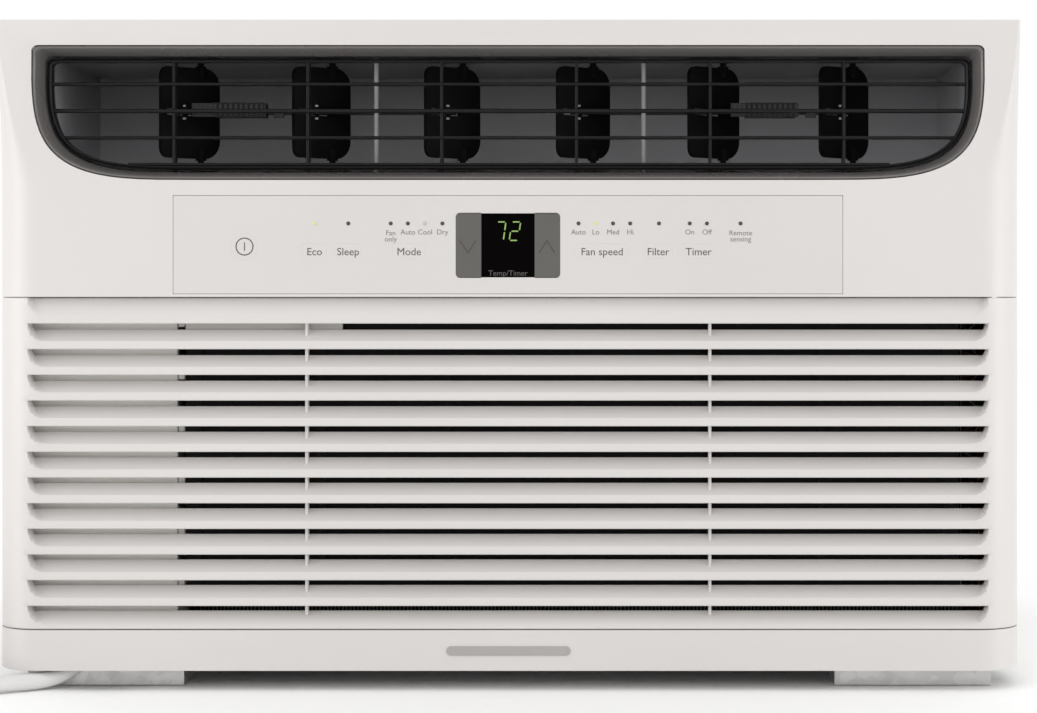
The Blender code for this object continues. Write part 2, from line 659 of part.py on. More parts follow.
def motor():
    """The fan motor, its mounting plate and the shroud round the condenser fan."""
    centre = (FAN_X, FAN_Z)
    radius = 0.050
    body = [(BORE_RADIUS, -0.0360), (0.016, -0.0360), (0.020, -0.0300), (0.044, -0.0270), (radius, -0.0200),
            (radius, 0.0290), (0.044, 0.0360), (0.020, 0.0390), (0.016, 0.0450), (BORE_RADIUS, 0.0450)]
    add("fan_motor", turned(body, 32, "Y", centre, ring=True), "motor_steel", smooth_deg=30)
    plate = [(-0.135, 0.0103), (0.015, 0.0103), (0.004, 0.2100), (-0.124, 0.2100)]
    hole = circle(radius + 0.0005, 32, centre)
    bracket = add("motor_bracket", prism(plate, 0.0030, 0.0050, "Y", [hole]), "galvanised")
    join(bracket, boxes(((-0.135, 0.0030, 0.0103), (0.015, 0.0300, 0.0123))))
    shroud_plate = [(-0.2270, 0.0103), (0.0880, 0.0103), (0.0880, 0.2970), (-0.2270, 0.2970)]
    throat = 0.1290
    opening = circle(throat, 48, centre)
    shroud = add("fan_shroud", prism(shroud_plate, 0.0600, 0.0615, "Y", [opening]), "foam")
    collar = [(throat, 0.0605), (throat + 0.0015, 0.0605), (throat + 0.0015, 0.1180), (throat, 0.1180)]
    join(shroud, turned(collar, 48, "Y", centre, ring=True))


# ---- Refrigeration ----
def coils():
    """The two heat exchangers, each a pack of fins between end plates."""
    spots = (("evaporator_coil", (-0.147, -0.152, 0.014), (0.212, -0.112, 0.226)),
             ("condenser_coil", (-0.216, 0.145, 0.0125), (0.216, 0.183, 0.286)))
    for name, low, high in spots:
        plate = 0.0015
        inset = 0.003
        coil = add(name, boxes(((low[0] + plate / 2, low[1] + inset, low[2] + inset),
                                (high[0] - plate / 2, high[1] - inset, high[2] - inset))), "fins")
        join(coil, boxes((low, (low[0] + plate, high[1], high[2])),
                         ((high[0] - plate, low[1], low[2]), high)))


def compressor():
    centre = (COMPRESSOR_X, COMPRESSOR_Y)
    radius = COMPRESSOR_RADIUS
    can = [(0.034, 0.0200), (0.050, 0.0235), (radius, 0.0350), (radius, 0.1700), (0.053, 0.1860),
           (0.040, 0.1990), (0.020, 0.2060), (0.006, 0.2080)]
    body = add("compressor", turned(can, 32, centre=centre), "compressor_paint", smooth_deg=35)
    foot = 0.062
    join(body, boxes(((centre[0] - foot, centre[1] - foot, 0.0255),
                      (centre[0] + foot, centre[1] + foot, 0.0285))))
    feet = bmesh.new()
    for dx, dy in ((-0.053, -0.053), (0.053, -0.053), (0.053, 0.053), (-0.053, 0.053)):
        post = turned([(0.008, 0.0103), (0.008, 0.0270)], 10, centre=(centre[0] + dx, centre[1] + dy))
        mesh = bpy.data.meshes.new("post")
        post.to_mesh(mesh)
        post.free()
        feet.from_mesh(mesh)
        bpy.data.meshes.remove(mesh)
    join(body, feet)
    dryer = [(0.006, 0.060), (0.020, 0.068), (0.020, 0.150), (0.006, 0.160)]
    add("accumulator", turned(dryer, 20, centre=(0.205, -0.010)), "compressor_paint", smooth_deg=35)


def pipes():
    """The refrigerant lines between the compressor and the two coils."""
    runs = {
        "suction_line": (0.0045, [(0.205, -0.010, 0.0592), (0.205, -0.0105, 0.053), (0.204, -0.018, 0.045),
                                  (0.202, -0.040, 0.045), (0.200, -0.070, 0.046), (0.200, -0.1087, 0.048)]),
        "discharge_line": (0.0035, [(0.150, 0.045, 0.2090), (0.150, 0.047, 0.222), (0.152, 0.070, 0.234),
                                    (0.160, 0.100, 0.234), (0.170, 0.125, 0.232), (0.175, 0.1415, 0.232)]),
        "accumulator_line": (0.0040, [(0.205, -0.010, 0.1608), (0.205, -0.010, 0.1660),
                                      (0.2030, -0.008, 0.1720), (0.1985, -0.0035, 0.1755),
                                      (0.1915, 0.0035, 0.1755)]),
        "capillary_tube": (0.0015, [(0.186, 0.1425, 0.080), (0.202, 0.110, 0.062), (0.2225, 0.060, 0.050),
                                    (0.2225, 0.020, 0.046), (0.2100, -0.030, 0.056), (0.206, -0.070, 0.062),
                                    (0.206, -0.1087, 0.062)]),
    }
    for name, (radius, points) in runs.items():
        tube(name, smooth_route(points, 3 * len(points)), radius, "copper")


# ---- Cord ----
def strain_relief():
    """The tapered boot on the front rim of the base pan."""
    rim_y = -0.1583
    length = 0.036
    start = CORD_EXIT - CORD_HEADING * (length + 2 * GAP)
    turn = CORD_HEADING.to_track_quat("Z", "Y").to_matrix().to_4x4()
    boot = [(0.0066, 0.0), (0.0066, 0.0150), (0.0056, 0.0160), (0.0056, 0.0180), (0.0062, 0.0190),
            (0.0062, 0.0210),
            (0.0052, 0.0220), (0.0052, 0.0240), (0.0056, 0.0250), (0.0056, 0.0270), (0.0047, 0.0280),
            (0.0044, length)]
    bm = turned(boot, 16)
    bm.transform(Matrix.Translation(start) @ turn)
    relief = add("strain_relief", bm, "cord_jacket", smooth_deg=40)
    cut(relief, boxes(((-0.3, rim_y, 0), (0.0, rim_y + 0.06, 0.05))))


def cord():
    """The cord on its way along the ground, and the solid that its put-away turns fill."""
    tube("power_cord", smooth_route(CORD_ROUTE, 26), CORD_RADIUS, "cord_jacket")
    inner = COIL_RADII[0] - CORD_RADIUS
    outer = COIL_RADII[-1] + CORD_RADIUS
    chamfer = 0.0015
    low, high = 0.0001, COIL_HEIGHT
    ring = [(inner, low + chamfer), (inner + chamfer, low), (outer - chamfer, low), (outer, low + chamfer),
            (outer, high - chamfer), (outer - chamfer, high), (inner + chamfer, high),
            (inner, high - chamfer)]
    add("cord_coil", turned(ring, 40, centre=COIL_CENTRE[:2], ring=True), "cord_jacket", smooth_deg=50)


def plug():
    """The leakage-detecting plug beside the coil, with its blades and two buttons."""
    x = COIL_CENTRE.x - COIL_RADII[-1]
    start = COIL_CENTRE.y + 0.0312
    neck, body_end = start + 0.022, start + 0.084
    low, high = 0.0003, 0.0283
    half = 0.021
    body = bmesh.new()
    prism(rounded((x - half, low), (x + half, high), [0.004] * 4), neck - 0.001, body_end, "Y", bm=body)
    plug_body = add("plug_body", body, "cord_jacket", smooth_deg=40)
    boot = [(0.0045, start), (0.0052, start + 0.006), (0.0080, neck)]
    join(plug_body, turned(boot, 14, "Y", (x, 0.0120)))
    middle = neck + 0.030
    wells = (("plug_test_button", middle - 0.013), ("plug_reset_button", middle + 0.003))
    for name, y in wells:
        well_low, well_high = (x - 0.0060, y), (x + 0.0060, y + 0.010)
        cut(plug_body, boxes(((*well_low, high - 0.004), (*well_high, high + 0.01))))
        inset = (well_low[0] + GAP, well_low[1] + GAP)
        outset = (well_high[0] - GAP, well_high[1] - GAP)
        top = rounded(inset, outset, [0.0010] * 4, 2)
        add(name, prism(top, high - 0.0023, high + 0.0012, "Z"), "grey_key", origin=(x, y + 0.005, high))
    blade_start = body_end + GAP
    for name, dx in (("plug_blade_left", -0.00635), ("plug_blade_right", 0.00635)):
        add(name, boxes(((x + dx - 0.00075, blade_start, 0.0150),
                         (x + dx + 0.00075, blade_start + 0.017, 0.0213))),
            "brass")
    pin = [(0.0024, blade_start), (0.0024, blade_start + 0.018), (0.0012, blade_start + 0.0205)]
    add("plug_ground_pin", turned(pin, 14, "Y", (x, 0.0075)), "brass", smooth_deg=40)


def build():
    for old in list(bpy.data.objects):
        bpy.data.objects.remove(old, do_unlink=True)
    for make in (front_panel, outlet_bezel, discharge_grille, control_panel, intake_grille, air_filter, vanes,
                 vane_links, outlet_duct, chassis, control_box, blower, rotor, motor, coils, compressor,
                 pipes, strain_relief, cord, plug):
        make()


build()
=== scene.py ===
"""The looks of the window air conditioner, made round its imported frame.

Metres, +Z up. The front faces -Y. Left and right are as seen from the front.
"""

from math import atan2, cos, pi, radians, sin, sqrt

import bmesh
import bpy
from mathutils import Matrix, Vector


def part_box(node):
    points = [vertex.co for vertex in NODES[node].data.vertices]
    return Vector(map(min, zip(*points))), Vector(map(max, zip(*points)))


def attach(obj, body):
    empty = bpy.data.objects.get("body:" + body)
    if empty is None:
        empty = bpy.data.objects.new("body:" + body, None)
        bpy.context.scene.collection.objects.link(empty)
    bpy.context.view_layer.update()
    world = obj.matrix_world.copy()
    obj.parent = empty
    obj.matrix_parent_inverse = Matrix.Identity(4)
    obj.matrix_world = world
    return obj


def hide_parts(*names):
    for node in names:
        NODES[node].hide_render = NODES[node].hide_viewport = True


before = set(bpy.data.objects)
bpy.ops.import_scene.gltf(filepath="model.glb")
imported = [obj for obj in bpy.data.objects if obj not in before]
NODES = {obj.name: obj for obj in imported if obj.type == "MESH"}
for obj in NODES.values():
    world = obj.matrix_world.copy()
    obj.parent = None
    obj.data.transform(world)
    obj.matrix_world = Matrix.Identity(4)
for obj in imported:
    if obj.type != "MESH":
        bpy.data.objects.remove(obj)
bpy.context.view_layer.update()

# ---- Driving dimensions ----
PANEL_LOW, PANEL_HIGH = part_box("front_panel")
SIDE = PANEL_HIGH[0]
FRONT = PANEL_LOW[1]
PANEL_BACK = PANEL_HIGH[1]
TOP = PANEL_HIGH[2]
BOTTOM = PANEL_LOW[2]

FLAT_HALF = 0.214
FLARE_HALF = 0.232
FLARE_START = 0.232
FLARE_POWER = 1.8
CORNER_DEPTH = 0.025
PANEL_WALL = 0.0025

OUTLET_HALF = 0.217
OUTLET_LOW = 0.2321
OUTLET_HIGH = 0.2935
OUTLET_SWEEP = 0.078
OUTLET_POWER = 3.9

OVERLAY_LOW, OVERLAY_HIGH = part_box("control_panel")
DOOR_LOW, DOOR_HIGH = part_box("intake_grille")
SEAM = 0.0006

SLOT_COUNT = 12
SLOT_PITCH = 0.01168
SLOT_TOP = 0.1668
SLOT_HEIGHT = 0.0029
SLOT_HALF = 0.2188

KEY_RADIUS = 0.0009
DISPLAY_HALF = 0.0121
PAD_RADIUS = 0.0020
CORD_DIAMETER = 0.0075
COIL_CENTRE = sum((Vector(c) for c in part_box("cord_coil")), Vector()) / 2
COIL_RADII = (0.0270, 0.0345, 0.0420, 0.0495)
COIL_LAYERS = (0.00385, 0.01135)
CORD_EXIT = (-0.1810, -0.1710, 0.0167)
CORD_ROUTE = [
    CORD_EXIT, (-0.1894, -0.1764, 0.0153), (-0.1979, -0.1820, 0.0103), (-0.2062, -0.1873, 0.0055),
    (-0.2150, -0.1931, 0.0039), (-0.2275, -0.2014, 0.0039), (-0.2410, -0.2108, 0.0039),
    (-0.2545, -0.2197, 0.0039),
]
PLUG_START = (-0.3557, -0.1618, 0.0120)


def shown(name, data):
    """A new object in the scene."""
    made = bpy.data.objects.new(name, data)
    bpy.context.scene.collection.objects.link(made)
    return made


# ---- Camera, floor and light ----
CAMERA_PLACE = (0.0455, FRONT - 1.2, 0.1775)
CAMERA_LENS = 91.6
CAMERA_SHIFT = (-0.0863, -0.0545)
FLOOR_REACH = 8.0
FLOOR_DROP = 0.0004
LAMPS = (
    ("above", (0.2, -0.9, 1.9), (0, -0.1, 0.2), 1.0, 2.5),
    ("left", (-1.6, -0.7, 0.22), (-0.1, -0.1, 0.15), 0.9, 9.0),
    ("right", (1.7, -0.7, 0.22), (0.1, -0.1, 0.15), 0.9, 8.0),
)


def camera_and_light():
    """The camera stands a little right of centre and looks straight at the front."""
    eye = bpy.data.cameras.new("camera")
    eye.sensor_width = 36
    eye.lens = CAMERA_LENS
    eye.shift_x, eye.shift_y = CAMERA_SHIFT
    stand = shown("camera", eye)
    stand.location = CAMERA_PLACE
    stand.rotation_euler = (radians(90), 0, 0)
    bpy.context.scene.camera = stand

    world = bpy.data.worlds.new("studio")
    bpy.context.scene.world = world
    world.use_nodes = True
    sky = world.node_tree.nodes["Background"]
    sky.inputs["Color"].default_value = (1.0, 1.0, 1.0, 1)
    bpy.context.scene.view_settings.view_transform = "Standard"

    for name, place, aim, size, power in LAMPS:
        lamp = bpy.data.lights.new(name, "AREA")
        lamp.shape = "DISK"
        lamp.size = size
        lamp.energy = power
        holder = shown(name, lamp)
        holder.location = place
        holder.rotation_euler = (Vector(aim) - Vector(place)).to_track_quat("-Z", "Y").to_euler()

    floor_mesh = bpy.data.meshes.new("floor")
    corners = [(x * FLOOR_REACH, y * FLOOR_REACH, 0) for x, y in ((-1, -1), (1, -1), (1, 1), (-1, 1))]
    floor_mesh.from_pydata(corners, [], [(0, 1, 2, 3)])
    floor = shown("floor", floor_mesh)
    floor.location.z = -FLOOR_DROP
    floor_mesh.materials.append(plain_floor())


# ---- Materials ----
def new_material(name):
    made = bpy.data.materials.new(name)
    made.use_nodes = True
    return made, made.node_tree, made.node_tree.nodes["Principled BSDF"]


def place_of(tree):
    return tree.nodes.new("ShaderNodeTexCoord").outputs["Object"]


def noise(tree, scale, detail=3.0, stretch=None):
    """Noise over the piece, stretched along an axis where asked."""
    source = place_of(tree)
    if stretch:
        mapping = tree.nodes.new("ShaderNodeMapping")
        mapping.inputs["Scale"].default_value = stretch
        tree.links.new(source, mapping.inputs["Vector"])
        source = mapping.outputs["Vector"]
    made = tree.nodes.new("ShaderNodeTexNoise")
    made.inputs["Scale"].default_value = scale
    made.inputs["Detail"].default_value = detail
    tree.links.new(source, made.inputs["Vector"])
    return made.outputs["Fac"]


def blend_colours(tree, fac, low, high, span=(0.35, 0.65)):
    """A colour that runs from low to high as fac crosses the span."""
    ramp = tree.nodes.new("ShaderNodeValToRGB")
    ramp.color_ramp.elements[0].position = span[0]
    ramp.color_ramp.elements[0].color = (*low, 1)
    ramp.color_ramp.elements[1].position = span[1]
    ramp.color_ramp.elements[1].color = (*high, 1)
    tree.links.new(fac, ramp.inputs["Fac"])
    return ramp.outputs["Color"]


def blend_values(tree, fac, low, high):
    spread = tree.nodes.new("ShaderNodeMapRange")
    spread.inputs["From Min"].default_value = 0.3
    spread.inputs["From Max"].default_value = 0.7
    spread.inputs["To Min"].default_value = low
    spread.inputs["To Max"].default_value = high
    tree.links.new(fac, spread.inputs["Value"])
    return spread.outputs["Result"]


def bump(tree, shader, height, strength, distance):
    made = tree.nodes.new("ShaderNodeBump")
    made.inputs["Strength"].default_value = strength
    made.inputs["Distance"].default_value = distance
    tree.links.new(height, made.inputs["Height"])
    tree.links.new(made.outputs["Normal"], shader.inputs["Normal"])


def plastic(name, colour, roughness, spread=0.03, grain=1400, strength=0.10, specular=0.5):
    """Moulded plastic: slightly uneven colour and gloss, and a fine moulded grain."""
    made, tree, shader = new_material(name)
    low = [c * (1 - spread) for c in colour]
    high = [min(1.0, c * (1 + spread)) for c in colour]
    tree.links.new(blend_colours(tree, noise(tree, 9.0), low, high), shader.inputs["Base Color"])
    gloss = blend_values(tree, noise(tree, 34.0, 5.0), roughness - 0.05, roughness + 0.06)
    tree.links.new(gloss, shader.inputs["Roughness"])
    shader.inputs["Specular IOR Level"].default_value = specular
    bump(tree, shader, noise(tree, grain, 2.0), strength, 0.00008)
    return made


def galvanised(name, colour, roughness):
    """Zinc coated steel: angular spangles that differ in tone and gloss."""
    made, tree, shader = new_material(name)
    cells = tree.nodes.new("ShaderNodeTexVoronoi")
    cells.inputs["Scale"].default_value = 230.0
    tree.links.new(place_of(tree), cells.inputs["Vector"])
    tone = tree.nodes.new("ShaderNodeSeparateColor")
    tree.links.new(cells.outputs["Color"], tone.inputs["Color"])
    low = [c * 0.93 for c in colour]
    high = [min(1.0, c * 1.06) for c in colour]
    zinc = blend_colours(tree, tone.outputs["Red"], low, high, (0.1, 0.9))
    tree.links.new(zinc, shader.inputs["Base Color"])
    tree.links.new(blend_values(tree, tone.outputs["Green"], roughness - 0.03, roughness + 0.05),
                   shader.inputs["Roughness"])
    shader.inputs["Metallic"].default_value = 1.0
    bump(tree, shader, noise(tree, 420, 3.0), 0.12, 0.0001)
    return made


def brushed(name, colour, roughness, stretch=(1, 40, 1)):
    """Bare metal with fine drawn lines."""
    made, tree, shader = new_material(name)
    lines = noise(tree, 60, 4.0, stretch)
    low = [c * 0.85 for c in colour]
    high = [min(1.0, c * 1.12) for c in colour]
    tree.links.new(blend_colours(tree, lines, low, high), shader.inputs["Base Color"])
    tree.links.new(blend_values(tree, lines, roughness - 0.06, roughness + 0.10), shader.inputs["Roughness"])
    shader.inputs["Metallic"].default_value = 1.0
    bump(tree, shader, lines, 0.15, 0.0001)
    return made


def fin_pack(name, colour, pitch):
    """Closely packed upright fins, with painted shade in the dark gaps between them, and a little dust."""
    made, tree, shader = new_material(name)
    waves = tree.nodes.new("ShaderNodeTexWave")
    waves.wave_type = "BANDS"
    waves.bands_direction = "X"
    waves.wave_profile = "SAW"
    waves.inputs["Scale"].default_value = 2 * pi / (20 * pitch)
    waves.inputs["Distortion"].default_value = 0.35
    waves.inputs["Detail"].default_value = 1.0
    waves.inputs["Detail Scale"].default_value = 0.4
    tree.links.new(place_of(tree), waves.inputs["Vector"])
    # Painted shade: the dark bands stand in for the shade between the fins.
    gap = [c * 0.10 for c in colour]
    tone = blend_colours(tree, waves.outputs["Fac"], gap, colour, (0.25, 0.55))
    tree.links.new(tone, shader.inputs["Base Color"])
    tree.links.new(blend_values(tree, noise(tree, 60), 0.30, 0.50), shader.inputs["Roughness"])
    shader.inputs["Metallic"].default_value = 0.9
    bump(tree, shader, waves.outputs["Fac"], 0.6, 0.0006)
    return made


def shaded_duct():
    """The outlet's inside: grey plastic with painted light and shade, paler towards its floor and darker
    towards its top.
    """
    made, tree, shader = new_material("duct_plastic")
    split = tree.nodes.new("ShaderNodeSeparateXYZ")
    tree.links.new(place_of(tree), split.inputs["Vector"])
    # Painted shade: the colour runs from pale at the duct's floor to dark under its top, standing in for how
    # light falls inside the outlet.
    tone = blend_colours(tree, split.outputs["Z"], (0.92, 0.91, 0.93), (0.30, 0.29, 0.30), (0.236, 0.292))
    tree.links.new(tone, shader.inputs["Base Color"])
    tree.links.new(blend_values(tree, noise(tree, 34.0, 5.0), 0.45, 0.58), shader.inputs["Roughness"])
    bump(tree, shader, noise(tree, 800, 2.0), 0.10, 0.00008)
    return made


def glow(name, colour, strength):
    """A lit indicator: its colour varies slightly at random over its lens."""
    made, tree, shader = new_material(name)
    tone = blend_colours(tree, noise(tree, 500), [c * 0.85 for c in colour], colour)
    tree.links.new(tone, shader.inputs["Base Color"])
    tree.links.new(tone, shader.inputs["Emission Color"])
    shader.inputs["Emission Strength"].default_value = strength
    shader.inputs["Roughness"].default_value = 0.4
    return made


def ink(name, colour):
    """Printed ink, very slightly uneven."""
    made, tree, shader = new_material(name)
    tone = blend_colours(tree, noise(tree, 900), [c * 0.92 for c in colour], colour)
    tree.links.new(tone, shader.inputs["Base Color"])
    shader.inputs["Roughness"].default_value = 0.5
    return made


def plain_floor():
    made, _, shader = new_material("floor")
    shader.inputs["Base Color"].default_value = (0.99, 0.99, 0.99, 1)
    shader.inputs["Roughness"].default_value = 0.8
    return made


WHITE = plastic("white_plastic", (0.624, 0.601, 0.585), 0.42, 0.012)
OVERLAY = plastic("overlay_film", (0.606, 0.582, 0.567), 0.38, 0.010, 2200, 0.06)
RIM = plastic("rim_plastic", (0.130, 0.122, 0.118), 0.24, 0.05, 700, 0.005, 0.5)
BLACK = plastic("black_plastic", (0.0060, 0.0060, 0.0070), 0.45, 0.10, 1100, 0.15, 0.20)
SLIDE = plastic("slide_plastic", (0.016, 0.016, 0.017), 0.40, 0.08, 900, 0.1, 0.4)
VANE_BLACK = plastic("vane_black", (0.0030, 0.0030, 0.0035), 0.50, 0.10, 1100, 0.15, 0.08)
DUCT_PAINTED_SHADE = shaded_duct()
GREY_KEY = plastic("grey_key", (0.105, 0.102, 0.092), 0.40, 0.03, 2200, 0.05, 0.3)
DISPLAY = plastic("display_glass", (0.0012, 0.0008, 0.0008), 0.20, 0.05, 300, 0.01, 0.02)
BOARD = plastic("circuit_board", (0.03, 0.16, 0.06), 0.40, 0.20, 300, 0.2)
FOAM = plastic("moulded_foam", (0.76, 0.75, 0.71), 0.85, 0.03, 260, 0.5)
CREAM = plastic("cream_plastic", (0.86, 0.84, 0.79), 0.55, 0.03, 900, 0.1)
GRIP = plastic("filter_grip_grey", (0.44, 0.425, 0.400), 0.55, 0.03)
PAINTED = plastic("painted_steel", (0.585, 0.572, 0.556), 0.40, 0.02, 620, 0.18)
GALVANISED = galvanised("galvanised_steel", (0.56, 0.555, 0.55), 0.38)
# Painted highlight: the vanes' link clips are pale grey, standing in for the glints on black clips.
CLIP_HIGHLIGHT_GREY = plastic("clip_painted_highlight", (0.40, 0.39, 0.38), 0.40, 0.03)
POST_GREY = plastic("post_grey", (0.33, 0.33, 0.33), 0.35, 0.04, 900, 0.08)
FINS = fin_pack("aluminium_fins", (0.55, 0.56, 0.57), 0.0018)
# Painted shade: the evaporator's fins are made dark so what shows through the louvre slots reads as the shade
# behind them.
FINS_DARKENED_FOR_SHADE = fin_pack("fins_darkened_for_shade", (0.14, 0.145, 0.15), 0.0018)
FAN_PLASTIC = plastic("fan_plastic", (0.035, 0.035, 0.037), 0.45, 0.12, 500, 0.15)
MOTOR = brushed("motor_steel", (0.36, 0.36, 0.37), 0.36)
COMPRESSOR = plastic("compressor_paint", (0.012, 0.012, 0.013), 0.28, 0.15, 240, 0.2)
SCREW = brushed("screw_zinc", (0.58, 0.58, 0.57), 0.30)
COPPER = brushed("copper", (0.66, 0.30, 0.16), 0.30, (1, 8, 1))
# Painted shade: the evaporator's return bends are near black, standing in for the shade they sit in behind
# the louvre slots.
DARK_COPPER = brushed("copper_darkened_for_shade", (0.075, 0.050, 0.040), 0.45, (1, 8, 1))
# The filter's near-black colour is partly its own dark plastic and partly painted shade, darkened so the
# louvre slots read as deep shade.
FILTER = plastic("filter_plastic", (0.0080, 0.0070, 0.0065), 0.60, 0.15, 600, 0.2, 0.1)
CAN = brushed("capacitor_can", (0.62, 0.62, 0.62), 0.30, (40, 40, 1))
JACKET = plastic("cord_jacket", (0.70, 0.69, 0.68), 0.45, 0.02, 900, 0.12)
BRASS = brushed("blade_brass", (0.70, 0.52, 0.24), 0.28, (1, 30, 1))
INK_GREY = ink("ink_grey", (0.080, 0.074, 0.070))
INK_PALE = ink("ink_pale", (0.185, 0.175, 0.168))
INK_FAINT = ink("ink_faint", (0.52, 0.47, 0.42))
INK_DARK = ink("ink_dark", (0.05, 0.045, 0.045))
LED_LIT = glow("led_lit", (0.56, 0.62, 0.28), 0.22)
DIGIT = glow("digit_green", (0.19, 0.31, 0.08), 0.42)
BADGE = plastic("badge_grey", (0.36, 0.345, 0.335), 0.35, 0.02)

NODE_LOOKS = {
    BOARD: "control_board",
    DUCT_PAINTED_SHADE: "outlet_duct",
    POST_GREY: "outlet_post_left outlet_post_right",
    GALVANISED: "foot_left foot_right base_pan bulkhead motor_bracket",
    PAINTED: "cabinet rear_guard",
    CREAM: "control_box",
    CAN: "run_capacitor",
    FOAM: "blower_housing fan_shroud",
    MOTOR: "motor_shaft fan_motor",
    FAN_PLASTIC: "blower_wheel condenser_fan",
    FINS_DARKENED_FOR_SHADE: "evaporator_coil",
    FINS: "condenser_coil",
    COMPRESSOR: "compressor accumulator",
    COPPER: "suction_line discharge_line accumulator_line capillary_tube",
    FILTER: "air_filter",
    JACKET: "strain_relief plug_body",
    GREY_KEY: "plug_test_button plug_reset_button",
    BRASS: "plug_blade_left plug_blade_right plug_ground_pin",
    BLACK: "vane_link_left vane_link_right",
}


def dress_nodes():
    """Gives every CAD part that stays its finish."""
    for finish, names in NODE_LOOKS.items():
        for node in (NODES[name] for name in names.split()):
            for place in node.material_slots:
                place.material = finish
            if not node.material_slots:
                node.data.materials.append(finish)


# ---- Mesh tools ----
def piece(name, bm, finish, body, smooth_deg=35.0, bevel=0.0):
    """Links a mesh as a piece that rides on a body, its edges softened where asked."""
    bmesh.ops.recalc_face_normals(bm, faces=bm.faces[:])
    mesh = bpy.data.meshes.new(name)
    bm.to_mesh(mesh)
    bm.free()
    mesh.materials.append(finish)
    mesh.shade_smooth()
    mesh.set_sharp_from_angle(angle=radians(smooth_deg))
    made = shown(name, mesh)
    if bevel:
        soften(made, bevel)
    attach(made, body)
    return made


def soften(made, width, segments=2):
    step = made.modifiers.new("soft_edges", "BEVEL")
    step.width = width
    step.segments = segments
    step.limit_method = "ANGLE"
    step.angle_limit = radians(40)


def boxes(*pairs, bm=None):
    """A mesh of boxes, each from its lowest to its highest corner."""
    bm = bm or bmesh.new()
    for low, high in pairs:
        size = [b - a for a, b in zip(low, high)]
        middle = [(a + b) / 2 for a, b in zip(low, high)]
        bmesh.ops.create_cube(bm, size=1, matrix=Matrix.Translation(middle) @ Matrix.Diagonal((*size, 1)))
    return bm


def along(axis, a, b, c):
    """A point from two coordinates across an axis, in X, Y, Z order, and one along it."""
    return {"X": (c, a, b), "Y": (a, c, b), "Z": (a, b, c)}[axis]


def prism(outline, low, high, axis, holes=(), bm=None):
    """A flat outline with holes, extruded along an axis."""
    bm = bm or bmesh.new()
    edges = []
    for loop in (outline, *holes):
        ring = [bm.verts.new(along(axis, a, b, low)) for a, b in loop]
        edges += [bm.edges.new((ring[i - 1], ring[i])) for i in range(len(ring))]
    filled = bmesh.ops.triangle_fill(bm, edges=edges, use_beauty=True)
    faces = [g for g in filled["geom"] if isinstance(g, bmesh.types.BMFace)]
    pushed = bmesh.ops.extrude_face_region(bm, geom=faces)
    moved = [g for g in pushed["geom"] if isinstance(g, bmesh.types.BMVert)]
    bmesh.ops.translate(bm, verts=moved, vec=along(axis, 0, 0, high - low))
    return bm


def loft(loops, ring=False, bm=None):
    """A skin over loops with equal numbers of points, closed by caps or back to the first loop."""
    bm = bm or bmesh.new()
    rows = [[bm.verts.new(p) for p in loop] for loop in loops]
    following = rows[1:] + rows[:1] if ring else rows[1:]
    for low, high in zip(rows, following):
        for i in range(len(low)):
            bm.faces.new((low[i - 1], low[i], high[i], high[i - 1]))
    if not ring:
        bm.faces.new(rows[0])
        bm.faces.new(rows[-1])
    return bm


def circle(radius, steps, centre=(0.0, 0.0)):
    turns = [2 * pi * i / steps for i in range(steps)]
    return [(centre[0] + radius * cos(t), centre[1] + radius * sin(t)) for t in turns]


def turned(profile, steps, axis="Z", centre=(0.0, 0.0), ring=False, bm=None):
    loops = [[along(axis, a, b, h) for a, b in circle(r, steps, centre)] for r, h in profile]
    return loft(loops, ring, bm)


def rounded(low, high, radius, steps=4):
    """A rectangle with round corners."""
    corners = [(low[0], low[1], 1, 1, 180), (high[0], low[1], -1, 1, 270),
               (high[0], high[1], -1, -1, 0), (low[0], high[1], 1, -1, 90)]
    points = []
    for a, b, sign_a, sign_b, start in corners:
        for k in range(steps + 1):
            turn = radians(start + 90 * k / steps)
            points.append((a + sign_a * radius + radius * cos(turn),
                           b + sign_b * radius + radius * sin(turn)))
    return points


def applied(source):
    """A new mesh of an object as it is seen, with its modifiers or curve settings applied."""
    bpy.context.view_layer.update()
    return bpy.data.meshes.new_from_object(source.evaluated_get(bpy.context.evaluated_depsgraph_get()))


def cut(target, bm, operation="DIFFERENCE"):
    """Cuts a mesh from a piece for good."""
    bmesh.ops.recalc_face_normals(bm, faces=bm.faces[:])
    mesh = bpy.data.meshes.new("tool")
    bm.to_mesh(mesh)
    bm.free()
    helper = shown("tool", mesh)
    step = target.modifiers.new("cut", "BOOLEAN")
    step.operation = operation
    step.solver = "EXACT"
    step.object = helper
    solid = applied(target)
    target.modifiers.remove(step)
    old = target.data
    target.data = solid
    bpy.data.meshes.remove(old)
    bpy.data.objects.remove(helper)
    bpy.data.meshes.remove(mesh)


# ---- Front panel ----
DOOR_GAP = 0.0004
POCKET_GAP = 0.0002
SHELF_BACK = -0.175
CHIN_CUT_FRONT = -0.166
FOOT_WINDOW = ((-0.222, FRONT + PANEL_WALL), (-0.172, -0.150))
KEY_WINDOW = ((-0.145, 0.1860), (0.145, 0.2195))
PAST = 0.01


def half_width(y, z):
    """Half the width of the front's outer skin at a depth and a height."""
    rise = min(1.0, max(0.0, (z - FLARE_START) / (TOP - FLARE_START)))
    flat = FLAT_HALF + (FLARE_HALF - FLAT_HALF) * (1 - (1 - rise) ** FLARE_POWER)
    turn = min(1.0, max(0.0, (y - FRONT) / CORNER_DEPTH))
    return flat + (SIDE - flat) * sqrt(1 - (1 - turn) ** 2)


